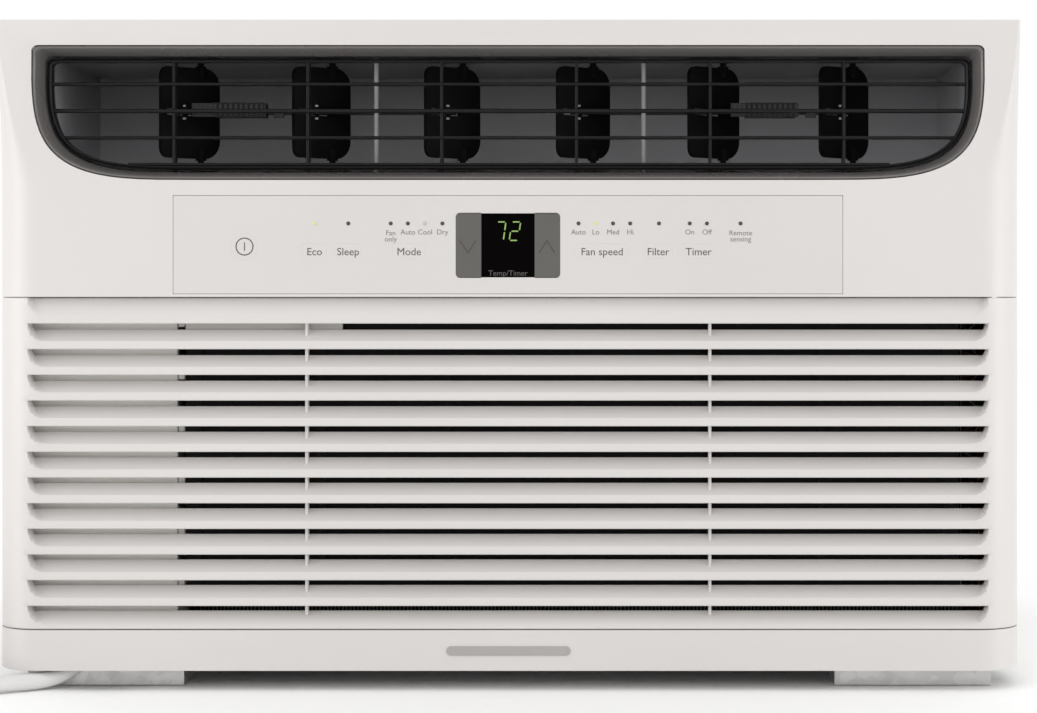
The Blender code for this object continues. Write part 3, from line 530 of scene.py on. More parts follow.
def front_block(low, high, back, inset_x=0.0, inset_y=0.0):
    """The solid inside the front's skin between two heights, from the face to `back`."""
    heights = [low, high]
    if high > FLARE_START:
        rises = 14
        heights[1:1] = [FLARE_START + (high - FLARE_START) * k / rises for k in range(rises)]
    steps = 12
    depths = [FRONT + CORNER_DEPTH * (1 - cos(pi / 2 * k / steps)) for k in range(steps + 1)]
    depths = [y for y in depths if y < back - 0.001] + [back - inset_y]
    loops = []
    for y in depths:
        right = [(half_width(y, z) - inset_x, y + inset_y, z) for z in heights]
        loops.append(right + [(-x, depth, z) for x, depth, z in reversed(right)])
    return loft(loops)


def outlet_outline(inset, steps=22):
    """The discharge opening's outline, drawn in by `inset` all round."""
    centre = OUTLET_HALF - OUTLET_SWEEP
    reach = OUTLET_SWEEP - inset
    drop = OUTLET_HIGH - OUTLET_LOW - 2 * inset
    corner = 0.003
    edge, top = OUTLET_HALF - inset, OUTLET_HIGH - inset
    right = [(edge - corner * (1 - sin(t)), top - corner * (1 - cos(t))) for t in (0.0, 0.4, 0.8, 1.2)]
    for k in range(1, steps + 1):
        turn = pi / 2 * k / steps
        x = centre + reach * cos(turn) ** (2 / OUTLET_POWER)
        z = top - drop * sin(turn) ** (2 / OUTLET_POWER)
        right.append((x, z))
    return right + [(-x, z) for x, z in reversed(right)]


def front_panel():
    """The front moulding, cut for the outlet, strip, door and cord, and the outlet's rim."""
    wall = PANEL_WALL
    opening_low = DOOR_LOW[2] - DOOR_GAP
    opening_high = DOOR_HIGH[2] + SEAM
    panel = piece("front_shell", front_block(BOTTOM, TOP, PANEL_BACK), WHITE, "root", 30)
    cut(panel, front_block(BOTTOM + wall, TOP - wall, PANEL_BACK + PAST, wall, wall))
    inner = SIDE - wall
    cut(panel, boxes(((-inner, CHIN_CUT_FRONT, 0), (inner, PANEL_BACK + PAST, BOTTOM + 2 * wall))))
    cut(panel, boxes(((-1, -1, opening_low), (1, DOOR_HIGH[1] + 0.0003, opening_high))))
    cut(panel, prism(outlet_outline(0), FRONT - PAST, FRONT + PAST, "Y"))
    pocket_low = (OVERLAY_LOW[0] - POCKET_GAP, FRONT - PAST, OVERLAY_LOW[2] - POCKET_GAP)
    pocket_high = (OVERLAY_HIGH[0] + POCKET_GAP, OVERLAY_HIGH[1], OVERLAY_HIGH[2] + POCKET_GAP)
    cut(panel, boxes((pocket_low, pocket_high)))
    shelf = front_block(opening_high, OVERLAY_LOW[2] - SEAM, SHELF_BACK, 0.0010, 0.0008)
    cut(panel, shelf, "UNION")
    (left, front), (right, back) = FOOT_WINDOW
    cut(panel, boxes(((left, front, 0), (right, back, BOTTOM + 2 * wall))))
    (left, low), (right, high) = KEY_WINDOW
    cut(panel, boxes(((left, FRONT - PAST, low), (right, FRONT + 0.006, high))))
    panel.data.shade_smooth()
    panel.data.set_sharp_from_angle(angle=radians(30))
    soften(panel, 0.0007, 3)
    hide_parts("front_panel")
    face, back = (corner[1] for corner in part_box("outlet_bezel"))
    layers = [(0.0003, face + 0.0006), (0.0003, back), (0.0060, back), (0.0050, -0.176), (0.0030, -0.188),
              (0.0018, face + 0.0012), (0.0012, face + 0.0002), (0.0007, face)]
    loops = [[(x, y, z) for x, z in outlet_outline(inset)] for inset, y in layers]
    rim = piece("outlet_rim", loft(loops, ring=True), RIM, "root", 40)
    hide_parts("outlet_bezel")


# ---- Louvred door ----
SCOOP_DEPTH = 0.0068
SCOOP_FALL = 0.0082
SCOOP_END = 0.0093
TOP_SCOOP_DEPTH = 0.0044
SCOOP_SHARES = (0.0, 0.06, 0.12, 0.19, 0.26, 0.33, 0.40, 0.46, 0.52, 0.57, 0.62, 0.80)
CORNER_DEGREES = (4, 7, 10, 13, 17, 22, 28, 35, 43, 52, 61, 70, 78, 85.4)
DOOR_WALL = 0.003
PLATE_BACK = FRONT + 0.008
DOOR_RIB_X = 0.092


def door_columns():
    """The door's skin from left to right: x, y and the inward shift of its back face."""
    flat = [(FLAT_HALF * sin(pi / 2 * k / 24), FRONT, 0.0, 0.0) for k in range(25)]
    corner = []
    for degrees in CORNER_DEGREES:
        turn = radians(degrees)
        x = FLAT_HALF + (SIDE - FLAT_HALF) * sin(turn)
        y = FRONT + CORNER_DEPTH * (1 - cos(turn))
        corner.append((x, y, DOOR_WALL * sin(turn), DOOR_WALL * cos(turn)))
    right = flat + corner
    return [(-x, y, -dx, dy) for x, y, dx, dy in reversed(right[1:])] + right


def end_inset(v):
    """How far in a scoop's rounded end comes, a share v of the way down it from its top edge."""
    return SCOOP_END * (1 - sqrt(max(0.0, 1 - min(v, 1.0) ** 2)))


def scoop(x, fall, depth, flat):
    """How deep a scoop is at x, a fall below its top edge; its first `flat` keeps the full depth."""
    share = max(0.0, 1 - max(0.0, fall - flat) / (SCOOP_FALL - flat))
    inside = min(1.0, max(0.0, (SLOT_HALF - end_inset(fall / SCOOP_FALL) - abs(x)) / 0.0018))
    return depth * share ** 0.9 * sin(inside * pi / 2)


def slot_drop(x):
    """The height of a slot at x: full along its length, and closing at its round ends."""
    inside = min(1.0, max(0.03, (SLOT_HALF - abs(x)) / 0.0012))
    return SLOT_HEIGHT * sqrt(inside)


def door_rows():
    """The rows of the door from its top down, as functions of x that give height and depth."""
    top, low = DOOR_HIGH[2] + 0.0003, DOOR_LOW[2]
    rows = [("solid", lambda x: (top, 0.0004 + scoop(x, 0.0, TOP_SCOOP_DEPTH, 0.0)))]
    for share in SCOOP_SHARES:
        fall = 0.0004 + (top - SLOT_TOP - 0.0006) * share
        rows.append(("solid", lambda x, fall=fall: (top - fall, scoop(x, fall, TOP_SCOOP_DEPTH, 0.0))))
    for k in range(SLOT_COUNT):
        head = SLOT_TOP - SLOT_PITCH * k
        foot = head - SLOT_PITCH + 0.0006 if k < SLOT_COUNT - 1 else low + 0.0022
        rows.append(("solid", lambda x, z=head + 0.0004: (z, 0.0)))
        rows.append(("open", lambda x, z=head: (z, 0.00035 if abs(x) < SLOT_HALF else 0.0)))
        for share in SCOOP_SHARES:
            def place(x, share=share, head=head, foot=foot):
                start = head - slot_drop(x)
                z = start + (foot - start) * share
                return z, scoop(x, head - z, SCOOP_DEPTH, SLOT_HEIGHT)
            rows.append(("solid", place))
    rows.append(("solid", lambda x: (low + 0.0020, 0.0)))
    rows.append(("solid", lambda x: (low + 0.0005, 0.0)))
    rows.append(("solid", lambda x: (low, 0.0005)))
    return rows


def louvred_door():
    """The intake door: scoops between through slots, wrapped round the unit's front corners."""
    columns = door_columns()
    rows = door_rows()
    bm = bmesh.new()
    front, back = [], []
    for _, place in rows:
        front_row, back_row = [], []
        for x, y, dx, dy in columns:
            z, depth = place(x)
            front_row.append(bm.verts.new((x, y + depth, z)))
            back_y = max(PLATE_BACK, y + (dy if abs(x) <= FLAT_HALF else DOOR_WALL))
            back_row.append(bm.verts.new((x - dx, back_y, z)))
        front.append(front_row)
        back.append(back_row)
    last = len(columns) - 1

    def is_open(r, c):
        if not 0 <= r < len(rows) - 1 or not 0 <= c < last:
            return True
        edge = max(abs(columns[c][0]), abs(columns[c + 1][0]))
        return rows[r][0] == "open" and edge < SLOT_HALF

    for r in range(len(rows) - 1):
        for c in range(last):
            if is_open(r, c):
                continue
            ring = ((r, c), (r, c + 1), (r + 1, c + 1), (r + 1, c))
            bm.faces.new([front[i][j] for i, j in ring])
            bm.faces.new([back[i][j] for i, j in reversed(ring)])
            sides = ((r - 1, c, ring[0], ring[1]), (r, c + 1, ring[1], ring[2]),
                     (r + 1, c, ring[2], ring[3]), (r, c - 1, ring[3], ring[0]))
            for i, j, a, b in sides:
                if is_open(i, j):
                    bm.faces.new((front[b[0]][b[1]], front[a[0]][a[1]], back[a[0]][a[1]], back[b[0]][b[1]]))
    rib_low, rib_high = DOOR_LOW[2] + 0.006, DOOR_HIGH[2] - 0.008
    for x in (-DOOR_RIB_X, DOOR_RIB_X):
        outline = rounded((x - 0.0007, PLATE_BACK - 0.0045), (x + 0.0007, PLATE_BACK + 0.0015), 0.0005, 2)
        prism(outline, rib_low, rib_high, "Z", bm=bm)
    door = piece("louvred_door", bm, WHITE, "intake_door", 38)
    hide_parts("intake_grille")


# ---- Discharge grille ----
VANE_PIVOTS = (-0.1465, -0.0845, -0.0230, 0.0385, 0.0998, 0.1610)
VANE_PIVOT_Y = -0.1500
VANE_LOW, VANE_HIGH = 0.2440, 0.2867
GRILLE_LOW, GRILLE_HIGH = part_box("discharge_grille")
BAR_LEVELS = [0.2398 + 0.0123 * k for k in range(4)]
BAR_UPRIGHTS = [-0.154, -0.0925, -0.031, 0.031, 0.0925, 0.154]


def outline_reach(outline, z):
    """How far right an outline reaches at a height."""
    best = 0.0
    for (xa, za), (xb, zb) in zip(outline, outline[1:]):
        if min(za, zb) <= z <= max(za, zb) and za != zb and xa > 0 and xb > 0:
            best = max(best, xa + (xb - xa) * (z - za) / (zb - za))
    return best


def discharge_grille():
    """The bars across the outlet: a frame, level bars, uprights and their pegs."""
    edge, frame_wide, peg = 0.0054, 0.0015, 0.0009
    y_front, y_back = GRILLE_LOW[1], GRILLE_HIGH[1]
    outer, inner = outlet_outline(edge), outlet_outline(edge + frame_wide)
    layers = [(outer, y_front + 0.0006), (outer, y_back), (inner, y_back), (inner, y_front + 0.0006)]
    middle = outlet_outline(edge + frame_wide / 2)
    loops = [[(x, y, z) for x, z in line] for line, y in layers + [(middle, y_front)]]
    bm = loft(loops, ring=True)
    for k, z in enumerate(BAR_LEVELS):
        reach = outline_reach(inner, z) + 0.001
        half = 0.0009 if k == 2 else 0.0007
        prism(rounded((y_front + 0.0002, z - half), (y_back - 0.0005, z + half), half * 0.8, 3),
              -reach, reach, "X", bm=bm)
    upright_back = -0.1757
    for x in BAR_UPRIGHTS:
        outline = rounded((x - 0.0007, y_front + 0.0010), (x + 0.0007, upright_back), 0.0006, 3)
        prism(outline, GRILLE_LOW[2] + 0.0008, GRILLE_HIGH[2] - 0.0008, "Z", bm=bm)
        boxes(((x - peg, upright_back - 0.0030, GRILLE_LOW[2] - 0.0016),
               (x + peg, upright_back - 0.0005, GRILLE_LOW[2] + 0.0030)), bm=bm)
    grille = piece("grille_bars", bm, BLACK, "root", 45)
    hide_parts("discharge_grille")


def link_details():
    """The ribbed thumb slides, and the small stops on the links."""
    for name, left, right, stop in (("vane_link_left", -0.1470, -0.1128, -0.1106),
                                    ("vane_link_right", 0.1022, 0.1336, 0.1378)):
        low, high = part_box(name)
        top = high[2]
        face, back = low[1] - 0.0003, low[1] + 0.0012
        bm = boxes(((left, face + 0.0005, top - 0.0066), (right, back, top - 0.0002)))
        count = int((right - left) / 0.0024)
        for k in range(count):
            x = left + 0.0007 + 0.0024 * k
            prism(rounded((x, top - 0.0062), (x + 0.0012, top - 0.0006), 0.0005, 2), face, back, "Y", bm=bm)
        boxes(((stop, -0.1640, 0.2626), (stop + 0.0048, -0.1612, 0.2650)), bm=bm)
        piece(name + "_slide", bm, SLIDE, name, 40, 0.0002)


VANE_TURN = radians(-47)
VANE_FRONT, VANE_REAR = 0.0228, 0.0100
VANE_HALF_THICK = 0.0010
VANE_NOSE_RADIUS, VANE_TAIL_RADIUS = 0.0042, 0.0085
VANE_LINK_REACH = 0.009


def vane_shapes():
    """Each vane's paddle, rounder at its rear, with its pivots and the clips of its link pin, whose pale grey
    is a painted highlight.
    """
    ahead = Vector((sin(VANE_TURN), -cos(VANE_TURN), 0))
    aside = Vector((cos(VANE_TURN), sin(VANE_TURN), 0))
    for k, x in enumerate(VANE_PIVOTS, 1):
        name = f"vane_{k}"
        low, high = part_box(name)
        y, bottom, top = VANE_PIVOT_Y, VANE_LOW, VANE_HIGH
        base = Vector((x, y, 0))
        outline = []
        nose, tail = VANE_NOSE_RADIUS, VANE_TAIL_RADIUS
        corners = ((VANE_FRONT, bottom, -1, 1, nose, 270), (VANE_FRONT, top, -1, -1, nose, 0),
                   (-VANE_REAR, top, 1, -1, tail, 90), (-VANE_REAR, bottom, 1, 1, tail, 180))
        for s, z, sign_s, sign_z, radius, start in corners:
            for i in range(7):
                turn = radians(start + 15 * i)
                outline.append((s + sign_s * radius + radius * cos(turn),
                                z + sign_z * radius + radius * sin(turn)))
        window = rounded((0.0024, 0.2639), (0.0198, 0.2671), 0.0006, 2)
        bm = prism(outline, -VANE_HALF_THICK, VANE_HALF_THICK, "Y", [window])
        for vert in bm.verts:
            vert.co = base + ahead * vert.co.x + aside * vert.co.y + Vector((0, 0, vert.co.z))
        for z_low, z_high, radius in ((low[2], bottom + 0.002, 0.0015), (top - 0.002, high[2], 0.0015),
                                      (bottom - 0.0008, bottom + 0.0045, 0.0026),
                                      (top - 0.0045, top + 0.0008, 0.0026)):
            turned([(radius, z_low), (radius, z_high)], 16, centre=(x, y), bm=bm)
        link = base + ahead * VANE_LINK_REACH
        turned([(0.0012, 0.2604), (0.0012, 0.2710)], 12, centre=(link.x, link.y), bm=bm)
        paddle = piece(name + "_paddle", bm, VANE_BLACK, name, 40)
        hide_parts(name)
        # Painted highlight: the clips are real, their pale grey stands in for the glints on them.
        clips = bmesh.new()
        for z in (0.2621, 0.2680):
            spot = link + ahead * 0.0012
            boxes(((spot.x - 0.0016, spot.y - 0.0012, z), (spot.x + 0.0016, spot.y + 0.0006, z + 0.0010)),
                  bm=clips)
        piece(name + "_clips", clips, CLIP_HIGHLIGHT_GREY, name, 40, 0.0002)


# ---- Control strip ----
def text(name, words, x, z, size, finish, y, body="root"):
    """Plain printed words, as a thin raised film."""
    curve = bpy.data.curves.new(name, "FONT")
    curve.body = words
    curve.size = size
    curve.align_x = "CENTER"
    curve.align_y = "CENTER"
    curve.extrude = 0.00002
    curve.space_line = 0.85
    curve.resolution_u = 4
    flat = shown(name, curve)
    flat.rotation_euler = (radians(90), 0, 0)
    flat.location = (x, y, z)
    mesh = applied(flat)
    mesh.transform(flat.matrix_world)
    bpy.data.objects.remove(flat)
    bpy.data.curves.remove(curve)
    mesh.materials.clear()
    mesh.materials.append(finish)
    made = shown(name, mesh)
    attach(made, body)


FILM = FRONT - 0.00003
INK_LAYER = (FRONT - 0.00006, FRONT - 0.00001)
LABELS = [
    ("eco", "Eco", -0.0880), ("sleep", "Sleep", -0.0727), ("mode", "Mode", -0.0450),
    ("fan_speed", "Fan speed", 0.0428), ("filter", "Filter", 0.0683), ("timer", "Timer", 0.0867),
]
LED_PLACES = {
    "eco": -0.0880, "sleep": -0.0726, "fan_only": -0.0533, "auto_mode": -0.0455, "cool": -0.0377,
    "dry": -0.0298, "auto_fan": 0.0321, "low": 0.0399, "medium": 0.0478, "high": 0.0556, "filter": 0.0687,
    "timer_on": 0.0827, "timer_off": 0.0905, "remote": 0.1058,
}
SMALL_LABELS = {
    "fan_only": "Fan\nonly", "auto_mode": "Auto", "cool": "Cool", "dry": "Dry", "auto_fan": "Auto",
    "low": "Lo", "medium": "Med", "high": "Hi", "timer_on": "On", "timer_off": "Off",
    "remote": "Remote\nsensing",
}
LIT = {"eco": LED_LIT, "low": LED_LIT, "cool": INK_FAINT}
LED_Z = 0.2123


def segment_digit(bm, x, z, on):
    """One seven-segment digit, leaning right; `on` names the lit segments a to g."""
    size, tall, lean = 0.0040, 0.0084, 0.14
    thick, gap = 0.00060, 0.00035
    half = tall / 2
    lines = {
        "a": ((0, tall), (size, tall)), "b": ((size, tall), (size, half)), "c": ((size, half), (size, 0)),
        "d": ((0, 0), (size, 0)), "e": ((0, half), (0, 0)), "f": ((0, tall), (0, half)),
        "g": ((0, half), (size, half)),
    }
    for key in on:
        (xa, za), (xb, zb) = lines[key]
        run = Vector((xb - xa, zb - za)).normalized()
        side = Vector((-run.y, run.x)) * thick / 2
        a = Vector((xa, za)) + run * gap
        b = Vector((xb, zb)) - run * gap
        corners = [a, a + run * thick / 2 + side, b - run * thick / 2 + side, b,
                   b - run * thick / 2 - side, a + run * thick / 2 - side]
        outline = [(x + p.x + lean * p.y, z + p.y) for p in corners]
        prism(outline, *INK_LAYER, "Y", bm=bm)


def key_caps():
    """The overlay's film and the keys' caps, a hairline apart."""
    holes = []
    for name in NODES:
        if not name.startswith("key_"):
            continue
        low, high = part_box(name)
        grow = 0.00018
        cap_low, cap_high = (low[0] - grow, low[2] - grow), (high[0] + grow, high[2] + grow)
        radius = (cap_high[0] - cap_low[0]) / 2 - 0.00001 if name == "key_power" else KEY_RADIUS
        if "temp" in name:
            inner = DISPLAY_HALF + 0.00005
            span = (inner, cap_high[0]) if name.endswith("up") else (cap_low[0], -inner)
            turn = PAD_RADIUS
            points = rounded((span[0] - turn, cap_low[1]), (span[1], cap_high[1]), turn, 6)
            if name.endswith("down"):
                points = rounded((span[0], cap_low[1]), (span[1] + turn, cap_high[1]), turn, 6)
            outline = [(min(max(a, span[0]), span[1]), b) for a, b in points]
            outline = [p for i, p in enumerate(outline) if p != outline[i - 1]]
        else:
            outline = rounded(cap_low, cap_high, radius, 10)
        cap = prism(outline, FRONT, FRONT + 0.0011, "Y")
        stem = ((low[0] + 0.002, FRONT + 0.0010, low[2] + 0.002), (high[0] - 0.002, high[1], high[2] - 0.002))
        boxes(stem, bm=cap)
        grey = "temp" in name
        finish, slot = (GREY_KEY, "grey_key") if grey else (OVERLAY, "overlay")
        made = piece(name + "_cap", cap, finish, name, 30)
        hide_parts(name)
        if not grey:
            room = 0.00002
            hole_low, hole_high = [v - room for v in cap_low], [v + room for v in cap_high]
            holes.append(rounded(hole_low, hole_high, radius + room * 0.9, 10))
    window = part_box("display_window")
    pad_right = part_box("key_temp_up")[1][0] + 0.00020
    pad_low, pad_high = window[0][2] - 0.00002, window[1][2] + 0.00002
    holes.append(rounded((-pad_right, pad_low), (pad_right, pad_high), PAD_RADIUS, 8))
    edge = rounded((OVERLAY_LOW[0], OVERLAY_LOW[2]), (OVERLAY_HIGH[0], OVERLAY_HIGH[2]), 0.0004, 2)
    sheet = prism(edge, FRONT, OVERLAY_HIGH[1], "Y", holes)
    film = piece("overlay_sheet", sheet, OVERLAY, "root", 30)
    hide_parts("control_panel")


def display():
    """The dark window between the two grey pads."""
    low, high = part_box("display_window")
    glass = boxes(((-DISPLAY_HALF, FRONT, low[2]), (DISPLAY_HALF, high[1], high[2])))
    made = piece("display_glass", glass, DISPLAY, "root", 30)
    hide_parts("display_window")


def badge():
    """A plain raised bar on the bottom strip, with nothing written on it."""
    z, half_x, half_z = 0.01790, 0.0282, 0.0021
    x = 0.0002
    outline = rounded((x - half_x, z - half_z), (x + half_x, z + half_z), half_z - 0.0001, 6)
    bar = prism(outline, FRONT - 0.0004, FRONT + 0.0006, "Y")
    piece("plain_badge", bar, BADGE, "root", 30)


def inner_details():
    """What shows between the louvres: the control box's cover and the filter's grip."""
    cover = boxes(((-0.2215, -0.1840, 0.0300), (-0.1520, -0.1826, 0.1770)))
    boxes(((-0.1535, -0.1828, 0.0300), (-0.1520, -0.1700, 0.1770)), bm=cover)
    boxes(((-0.2215, -0.1828, 0.0300), (-0.2200, -0.1700, 0.1770)), bm=cover)
    for k in range(6):
        z = 0.045 + 0.024 * k
        boxes(((-0.1518, -0.1834, z), (-0.1486, -0.1824, z + 0.004)), bm=cover)
    piece("control_box_cover", cover, CREAM, "root", 30, 0.0004)
    grip = boxes(((-0.1480, -0.1866, 0.1590), (-0.0760, -0.1848, 0.1700)))
    piece("filter_grip", grip, GRIP, "intake_door", 30, 0.0004)


def control_strip():
    """Printed labels, indicators, the power mark, the chevrons and the display's digits."""
    for name, words, x in LABELS:
        text("label_" + name, words, x, 0.1993, 0.0048, INK_GREY, FILM, "key_" + name)
    for name, words in SMALL_LABELS.items():
        z = 0.2065 if "\n" in words else 0.2083
        text("label_" + name.removeprefix("timer_"), words, LED_PLACES[name], z, 0.0033, INK_PALE, FILM)
    text("label_display", "Temp/Timer", 0.0, 0.1896, 0.0035, INK_GREY, FILM - 0.00002)
    for name, x in LED_PLACES.items():
        lens = turned([(0.00092, FRONT - 0.00010), (0.00065, FRONT - 0.00022)], 14, "Y", (x, LED_Z))
        piece("indicator_" + name, lens, LIT.get(name, INK_DARK), "root", 30)
    power_x, power_z = -0.1198, 0.2018
    face, base = INK_LAYER
    ring = [(0.0036, face), (0.0041, face), (0.0041, base), (0.0036, base)]
    mark = turned(ring, 48, "Y", (power_x, power_z), ring=True)
    boxes(((power_x - 0.00022, face, power_z - 0.0019), (power_x + 0.00022, base, power_z + 0.0019)), bm=mark)
    piece("power_mark", mark, INK_GREY, "key_power", 30)
    for body, x, sign in (("key_temp_down", -0.0182, -1), ("key_temp_up", 0.0177, 1)):
        z, half, rise, thick = 0.2021, 0.0036, 0.0028 * sign, 0.0008
        outline = [(x - half, z - rise), (x, z + rise), (x + half, z - rise),
                   (x + half, z - rise - thick), (x, z + rise - thick), (x - half, z - rise - thick)]
        chevron = prism(outline, *INK_LAYER, "Y")
        piece(body + "_mark", chevron, INK_DARK, body, 30)
    digits = bmesh.new()
    segment_digit(digits, -0.0061, 0.2046, "abc")
    segment_digit(digits, 0.0006, 0.2046, "abged")
    piece("display_digits", digits, DIGIT, "root", 30)


# ---- Cord ----
def smooth_route(points, count):
    """Evenly indexed points on a smooth curve through a route's own points."""
    spots = [Vector(p) for p in points]
    spots = [spots[0] * 2 - spots[1], *spots, spots[-1] * 2 - spots[-2]]
    spans = len(spots) - 3
    out = []
    for k in range(count + 1):
        t = spans * k / count
        i = min(int(t), spans - 1)
        f = t - i
        a, b, c, d = spots[i : i + 4]
        out.append(0.5 * (2 * b + (c - a) * f + (2 * a - 5 * b + 4 * c - d) * f ** 2
                          + (3 * b - a - 3 * c + d) * f ** 3))
    return out


def coil_points():
    """The put-away turns: inwards on the floor, then back out on top, one ring at a time."""
    start = atan2(-0.0415, 0.0270)
    rings = [(r, COIL_LAYERS[0]) for r in reversed(COIL_RADII)] + [(r, COIL_LAYERS[1]) for r in COIL_RADII]
    last_turn = 123 / 360
    step_share = 0.14
    per_turn = 40
    points = []
    total = int((len(rings) - 1 + last_turn) * per_turn)
    for k in range(total + 1):
        turns = (len(rings) - 1 + last_turn) * k / total
        ring = min(int(turns), len(rings) - 1)
        part = turns - ring
        radius, height = rings[ring]
        if ring < len(rings) - 1 and part > 1 - step_share:
            ease = (part - 1 + step_share) / step_share
            ease = ease * ease * (3 - 2 * ease)
            radius += (rings[ring + 1][0] - radius) * ease
            height += (rings[ring + 1][1] - height) * ease
        angle = start - 2 * pi * turns
        x, y = COIL_CENTRE.x + radius * cos(angle), COIL_CENTRE.y + radius * sin(angle)
        points.append(Vector((x, y, height)))
    return points


def power_cord():
    """The flexible cord, from its relief to its plug, with a tie round the put-away turns."""
    lead = smooth_route(CORD_ROUTE, 28)
    coil = coil_points()
    tail = smooth_route([coil[-1], (PLUG_START[0], coil[-1].y + 0.016, 0.0117), PLUG_START], 6)
    points = lead + smooth_route([lead[-1], coil[0]], 4)[1:-1] + coil + tail[1:]
    curve = bpy.data.curves.new("cord_jacket", "CURVE")
    curve.dimensions = "3D"
    curve.bevel_depth = CORD_DIAMETER / 2
    curve.bevel_resolution = 4
    curve.use_fill_caps = True
    spline = curve.splines.new("POLY")
    spline.points.add(len(points) - 1)
    for place, point in zip(spline.points, points):
        place.co = (*point, 1)
    spline.use_smooth = True
    curve.materials.append(JACKET)
    made = shown("cord", curve)
    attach(made, "root")
    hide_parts("power_cord", "cord_coil")
    middle = (COIL_RADII[0] + COIL_RADII[-1]) / 2
    reach = (COIL_RADII[-1] - COIL_RADII[0]) / 2 + CORD_DIAMETER / 2 + 0.0006
    top = COIL_LAYERS[1] + CORD_DIAMETER / 2
    outline = rounded((middle - reach, 0.0001), (middle + reach, top + 0.0006), 0.0030, 4)
    inner = rounded((middle - reach + 0.0005, 0.0004), (middle + reach - 0.0005, top + 0.0001), 0.0026, 4)
    tie_mesh = prism(outline, -0.0060, 0.0060, "X", [inner])
    tie = piece("cord_tie", tie_mesh, BLACK, "root", 40)
    tie.data.transform(Matrix.Translation((COIL_CENTRE.x, COIL_CENTRE.y, 0)))


# ---- Cabinet, coils and chassis ----
CABINET_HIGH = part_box("cabinet")[1]
GUARD_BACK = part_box("rear_guard")[1][1]
LOUVRE_LOW, LOUVRE_PITCH, LOUVRE_COUNT = 0.060, 0.022, 10
LOUVRE_SPAN = (0.030, 0.125)
VENT_LEFT, VENT_WIDE, VENT_PITCH, VENT_COUNT = -0.170, 0.030, 0.045, 8
VENT_SPAN = (0.065, 0.125)
VENT_LIP = 0.0022


def screw(bm, spot, out, radius=0.0042):
    """A hexagon washer head screw that stands out from a face."""
    turn = Vector(out).to_track_quat("Z", "Y").to_matrix()
    spot = Vector(spot)
    for sides, reach, low, high in ((20, radius, -0.0004, 0.0008), (6, radius * 0.66, 0.0006, 0.0028)):
        inset = 0.0003
        layers = [(reach, low), (reach, high - inset), (reach - inset, high)]
        loft([[spot + turn @ Vector((x, y, z)) for x, y in circle(r, sides)] for r, z in layers], bm=bm)


def cabinet_details():
    """Hoods over the side louvres, lips round the top vents, stiffening ribs and screws."""
    hoods = bmesh.new()
    side = CABINET_HIGH[0]
    for sign in (-1, 1):
        for k in range(LOUVRE_COUNT):
            z = LOUVRE_LOW + LOUVRE_PITCH * k
            profile = [(sign * (side - 0.0006), z + 0.0090), (sign * (side + 0.0008), z + 0.0086),
                       (sign * (side + 0.0026), z + 0.0052), (sign * (side + 0.0026), z + 0.0040),
                       (sign * (side - 0.0006), z + 0.0068)]
            ends = (LOUVRE_SPAN[0] - 0.003, LOUVRE_SPAN[1] + 0.003)
            loft([[(x, y, h) for x, h in profile] for y in ends], bm=hoods)
    piece("louvre_hoods", hoods, PAINTED, "root", 40, 0.0003)
    lips = bmesh.new()
    top = CABINET_HIGH[2]
    for k in range(VENT_COUNT):
        left = VENT_LEFT + VENT_PITCH * k
        right = left + VENT_WIDE
        lip = VENT_LIP
        outer = rounded((left - lip, VENT_SPAN[0] - lip), (right + lip, VENT_SPAN[1] + lip), 0.003, 4)
        inner = rounded((left, VENT_SPAN[0]), (right, VENT_SPAN[1]), 0.0012, 4)
        prism(outer, top - 0.0004, top + 0.0012, "Z", [inner], bm=lips)
        for share in (0.25, 0.5, 0.75):
            y = VENT_SPAN[0] + (VENT_SPAN[1] - VENT_SPAN[0]) * share
            boxes(((left - 0.0005, y - 0.0012, top - 0.0009), (right + 0.0005, y + 0.0012, top + 0.0003)),
                  bm=lips)
    piece("vent_lips", lips, PAINTED, "root", 40, 0.0003)
    ribs = bmesh.new()
    for x in (-0.150, -0.050, 0.050, 0.150):
        outline = rounded((x - 0.004, -0.105), (x + 0.004, 0.040), 0.0039, 6)
        low_ring = [(a, b, top - 0.0004) for a, b in outline]
        high_ring = [(x + (a - x) * 0.55, b + (0.0018 if b < -0.03 else -0.0018), top + 0.0014)
                     for a, b in outline]
        loft([low_ring, high_ring], bm=ribs)
    for sign in (-1, 1):
        for y in (-0.085, -0.040, 0.150):
            outline = rounded((y - 0.004, 0.060), (y + 0.004, 0.265), 0.0039, 6)
            low_ring = [(sign * (side - 0.0004), a, b) for a, b in outline]
            high_ring = [(sign * (side + 0.0014), y + (a - y) * 0.55, b) for a, b in outline]
            loft([low_ring, high_ring], bm=ribs)
    piece("cabinet_ribs", ribs, PAINTED, "root", 40)
    heads = bmesh.new()
    for sign in (-1, 1):
        for y in (-0.112, 0.010, 0.175):
            screw(heads, (sign * side, y, 0.0190), (sign, 0, 0))
        screw(heads, (sign * side, 0.182, 0.150), (sign, 0, 0))
    for x in (-0.205, -0.070, 0.070, 0.205):
        screw(heads, (x, 0.183, top), (0, 0, 1))
    for x in (-0.222, 0.222):
        for z in (0.034, 0.155, 0.290):
            screw(heads, (x, GUARD_BACK, z), (0, 1, 0), 0.0036)
    piece("cabinet_screws", heads, SCREW, "root", 40)
    plate_edge = rounded((-0.030, 0.105), (0.018, 0.175), 0.003, 4)
    plate = prism(plate_edge, side - 0.0002, side + 0.0005, "X")
    piece("rating_plate", plate, CAN, "root", 40)


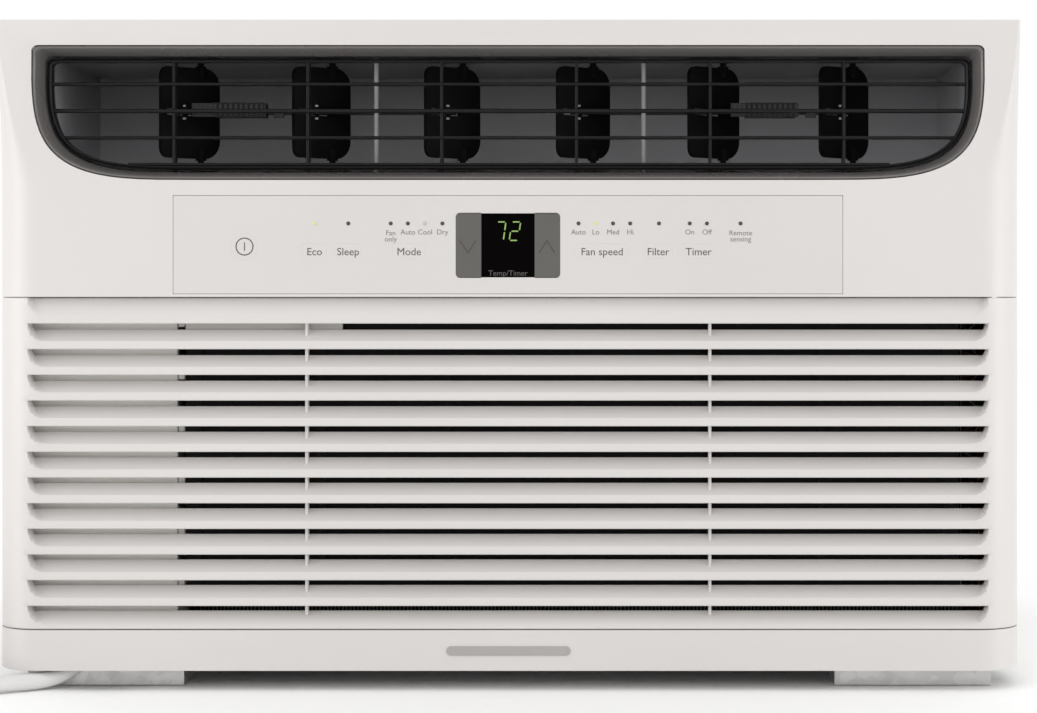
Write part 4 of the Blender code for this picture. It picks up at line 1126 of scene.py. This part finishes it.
def tube_piece(name, routes, radius, finish):
    """Round tubes along routes, as one piece."""
    bm = bmesh.new()
    for route in routes:
        spots = [Vector(p) for p in route]
        loops = []
        for i, spot in enumerate(spots):
            ahead = (spots[min(i + 1, len(spots) - 1)] - spots[max(i - 1, 0)]).normalized()
            across = ahead.cross(Vector((0, 1, 0.001))).normalized()
            over = across.cross(ahead).normalized()
            loops.append([spot + across * a + over * b for a, b in circle(radius, 12)])
        loft(loops, bm=bm)
    piece(name, bm, finish, "root", 50)


TUBE_PITCH, TUBE_RADIUS = 0.0254, 0.0032


def return_bend(x, y, z, sign):
    """A half turn of tube out of a fin pack's end, from `z` up to the next hole."""
    radius = TUBE_PITCH / 4
    centre = z + radius
    bend = [(x - sign * 0.002, y, centre - radius)]
    for i in range(9):
        turn = -pi / 2 + pi * i / 8
        bend.append((x + sign * (0.0012 + radius * 0.9 * cos(turn)), y, centre + radius * sin(turn)))
    return bend + [(x - sign * 0.002, y, centre + radius)]


def hairpins():
    """The coils' return bends, at both ends of each fin pack."""
    for name, rows, finish in (("condenser_coil", (-0.0095, 0.0095), COPPER),
                               ("evaporator_coil", (-0.010, 0.010), DARK_COPPER)):
        low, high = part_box(name)
        middle = (low[1] + high[1]) / 2
        count = int((high[2] - low[2] - 0.020) / TUBE_PITCH)
        routes = []
        for sign, x in ((-1, low[0]), (1, high[0])):
            start = low[2] + 0.012 + (0 if sign < 0 else TUBE_PITCH / 2)
            heights = [start + TUBE_PITCH * k for k in range(count)]
            heights = [z for z in heights if z + TUBE_PITCH / 2 <= high[2] - 0.006]
            routes += [return_bend(x, middle + row, z, sign) for row in rows for z in heights]
        tube_piece(name + "_bends", routes, TUBE_RADIUS, finish)


SEAM_RADII = (0.0572, 0.0580)


def chassis_details():
    """Screws on the feet, and the compressor's welded seam and terminal cover."""
    heads = bmesh.new()
    for sign in (-1, 1):
        low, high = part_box("foot_left" if sign < 0 else "foot_right")
        for y in (-0.150, 0.000, 0.130):
            screw(heads, ((low[0] + high[0]) / 2, y, high[2] + 0.0001), (0, 0, 1), 0.0034)
    piece("foot_screws", heads, SCREW, "root", 40)
    low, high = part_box("compressor")
    cx, cy = (low[0] + high[0]) / 2, (low[1] + high[1]) / 2
    inner, outer = SEAM_RADII
    band = turned([(inner, 0.100), (outer, 0.1005), (outer, 0.1035), (inner, 0.104)], 48, centre=(cx, cy))
    piece("compressor_seam", band, COMPRESSOR, "root", 40)
    top = high[2]
    profile = [(0.0150, top - 0.004), (0.0150, top + 0.0005), (0.0120, top + 0.0030)]
    cap = turned(profile, 32, centre=(cx - 0.026, cy))
    piece("compressor_terminal_cap", cap, BLACK, "root", 40)


# ---- Making it all ----
camera_and_light()
power_cord()
front_panel()
louvred_door()
discharge_grille()
link_details()
key_caps()
display()
vane_shapes()
badge()
inner_details()
control_strip()
cabinet_details()
hairpins()
chassis_details()
dress_nodes()
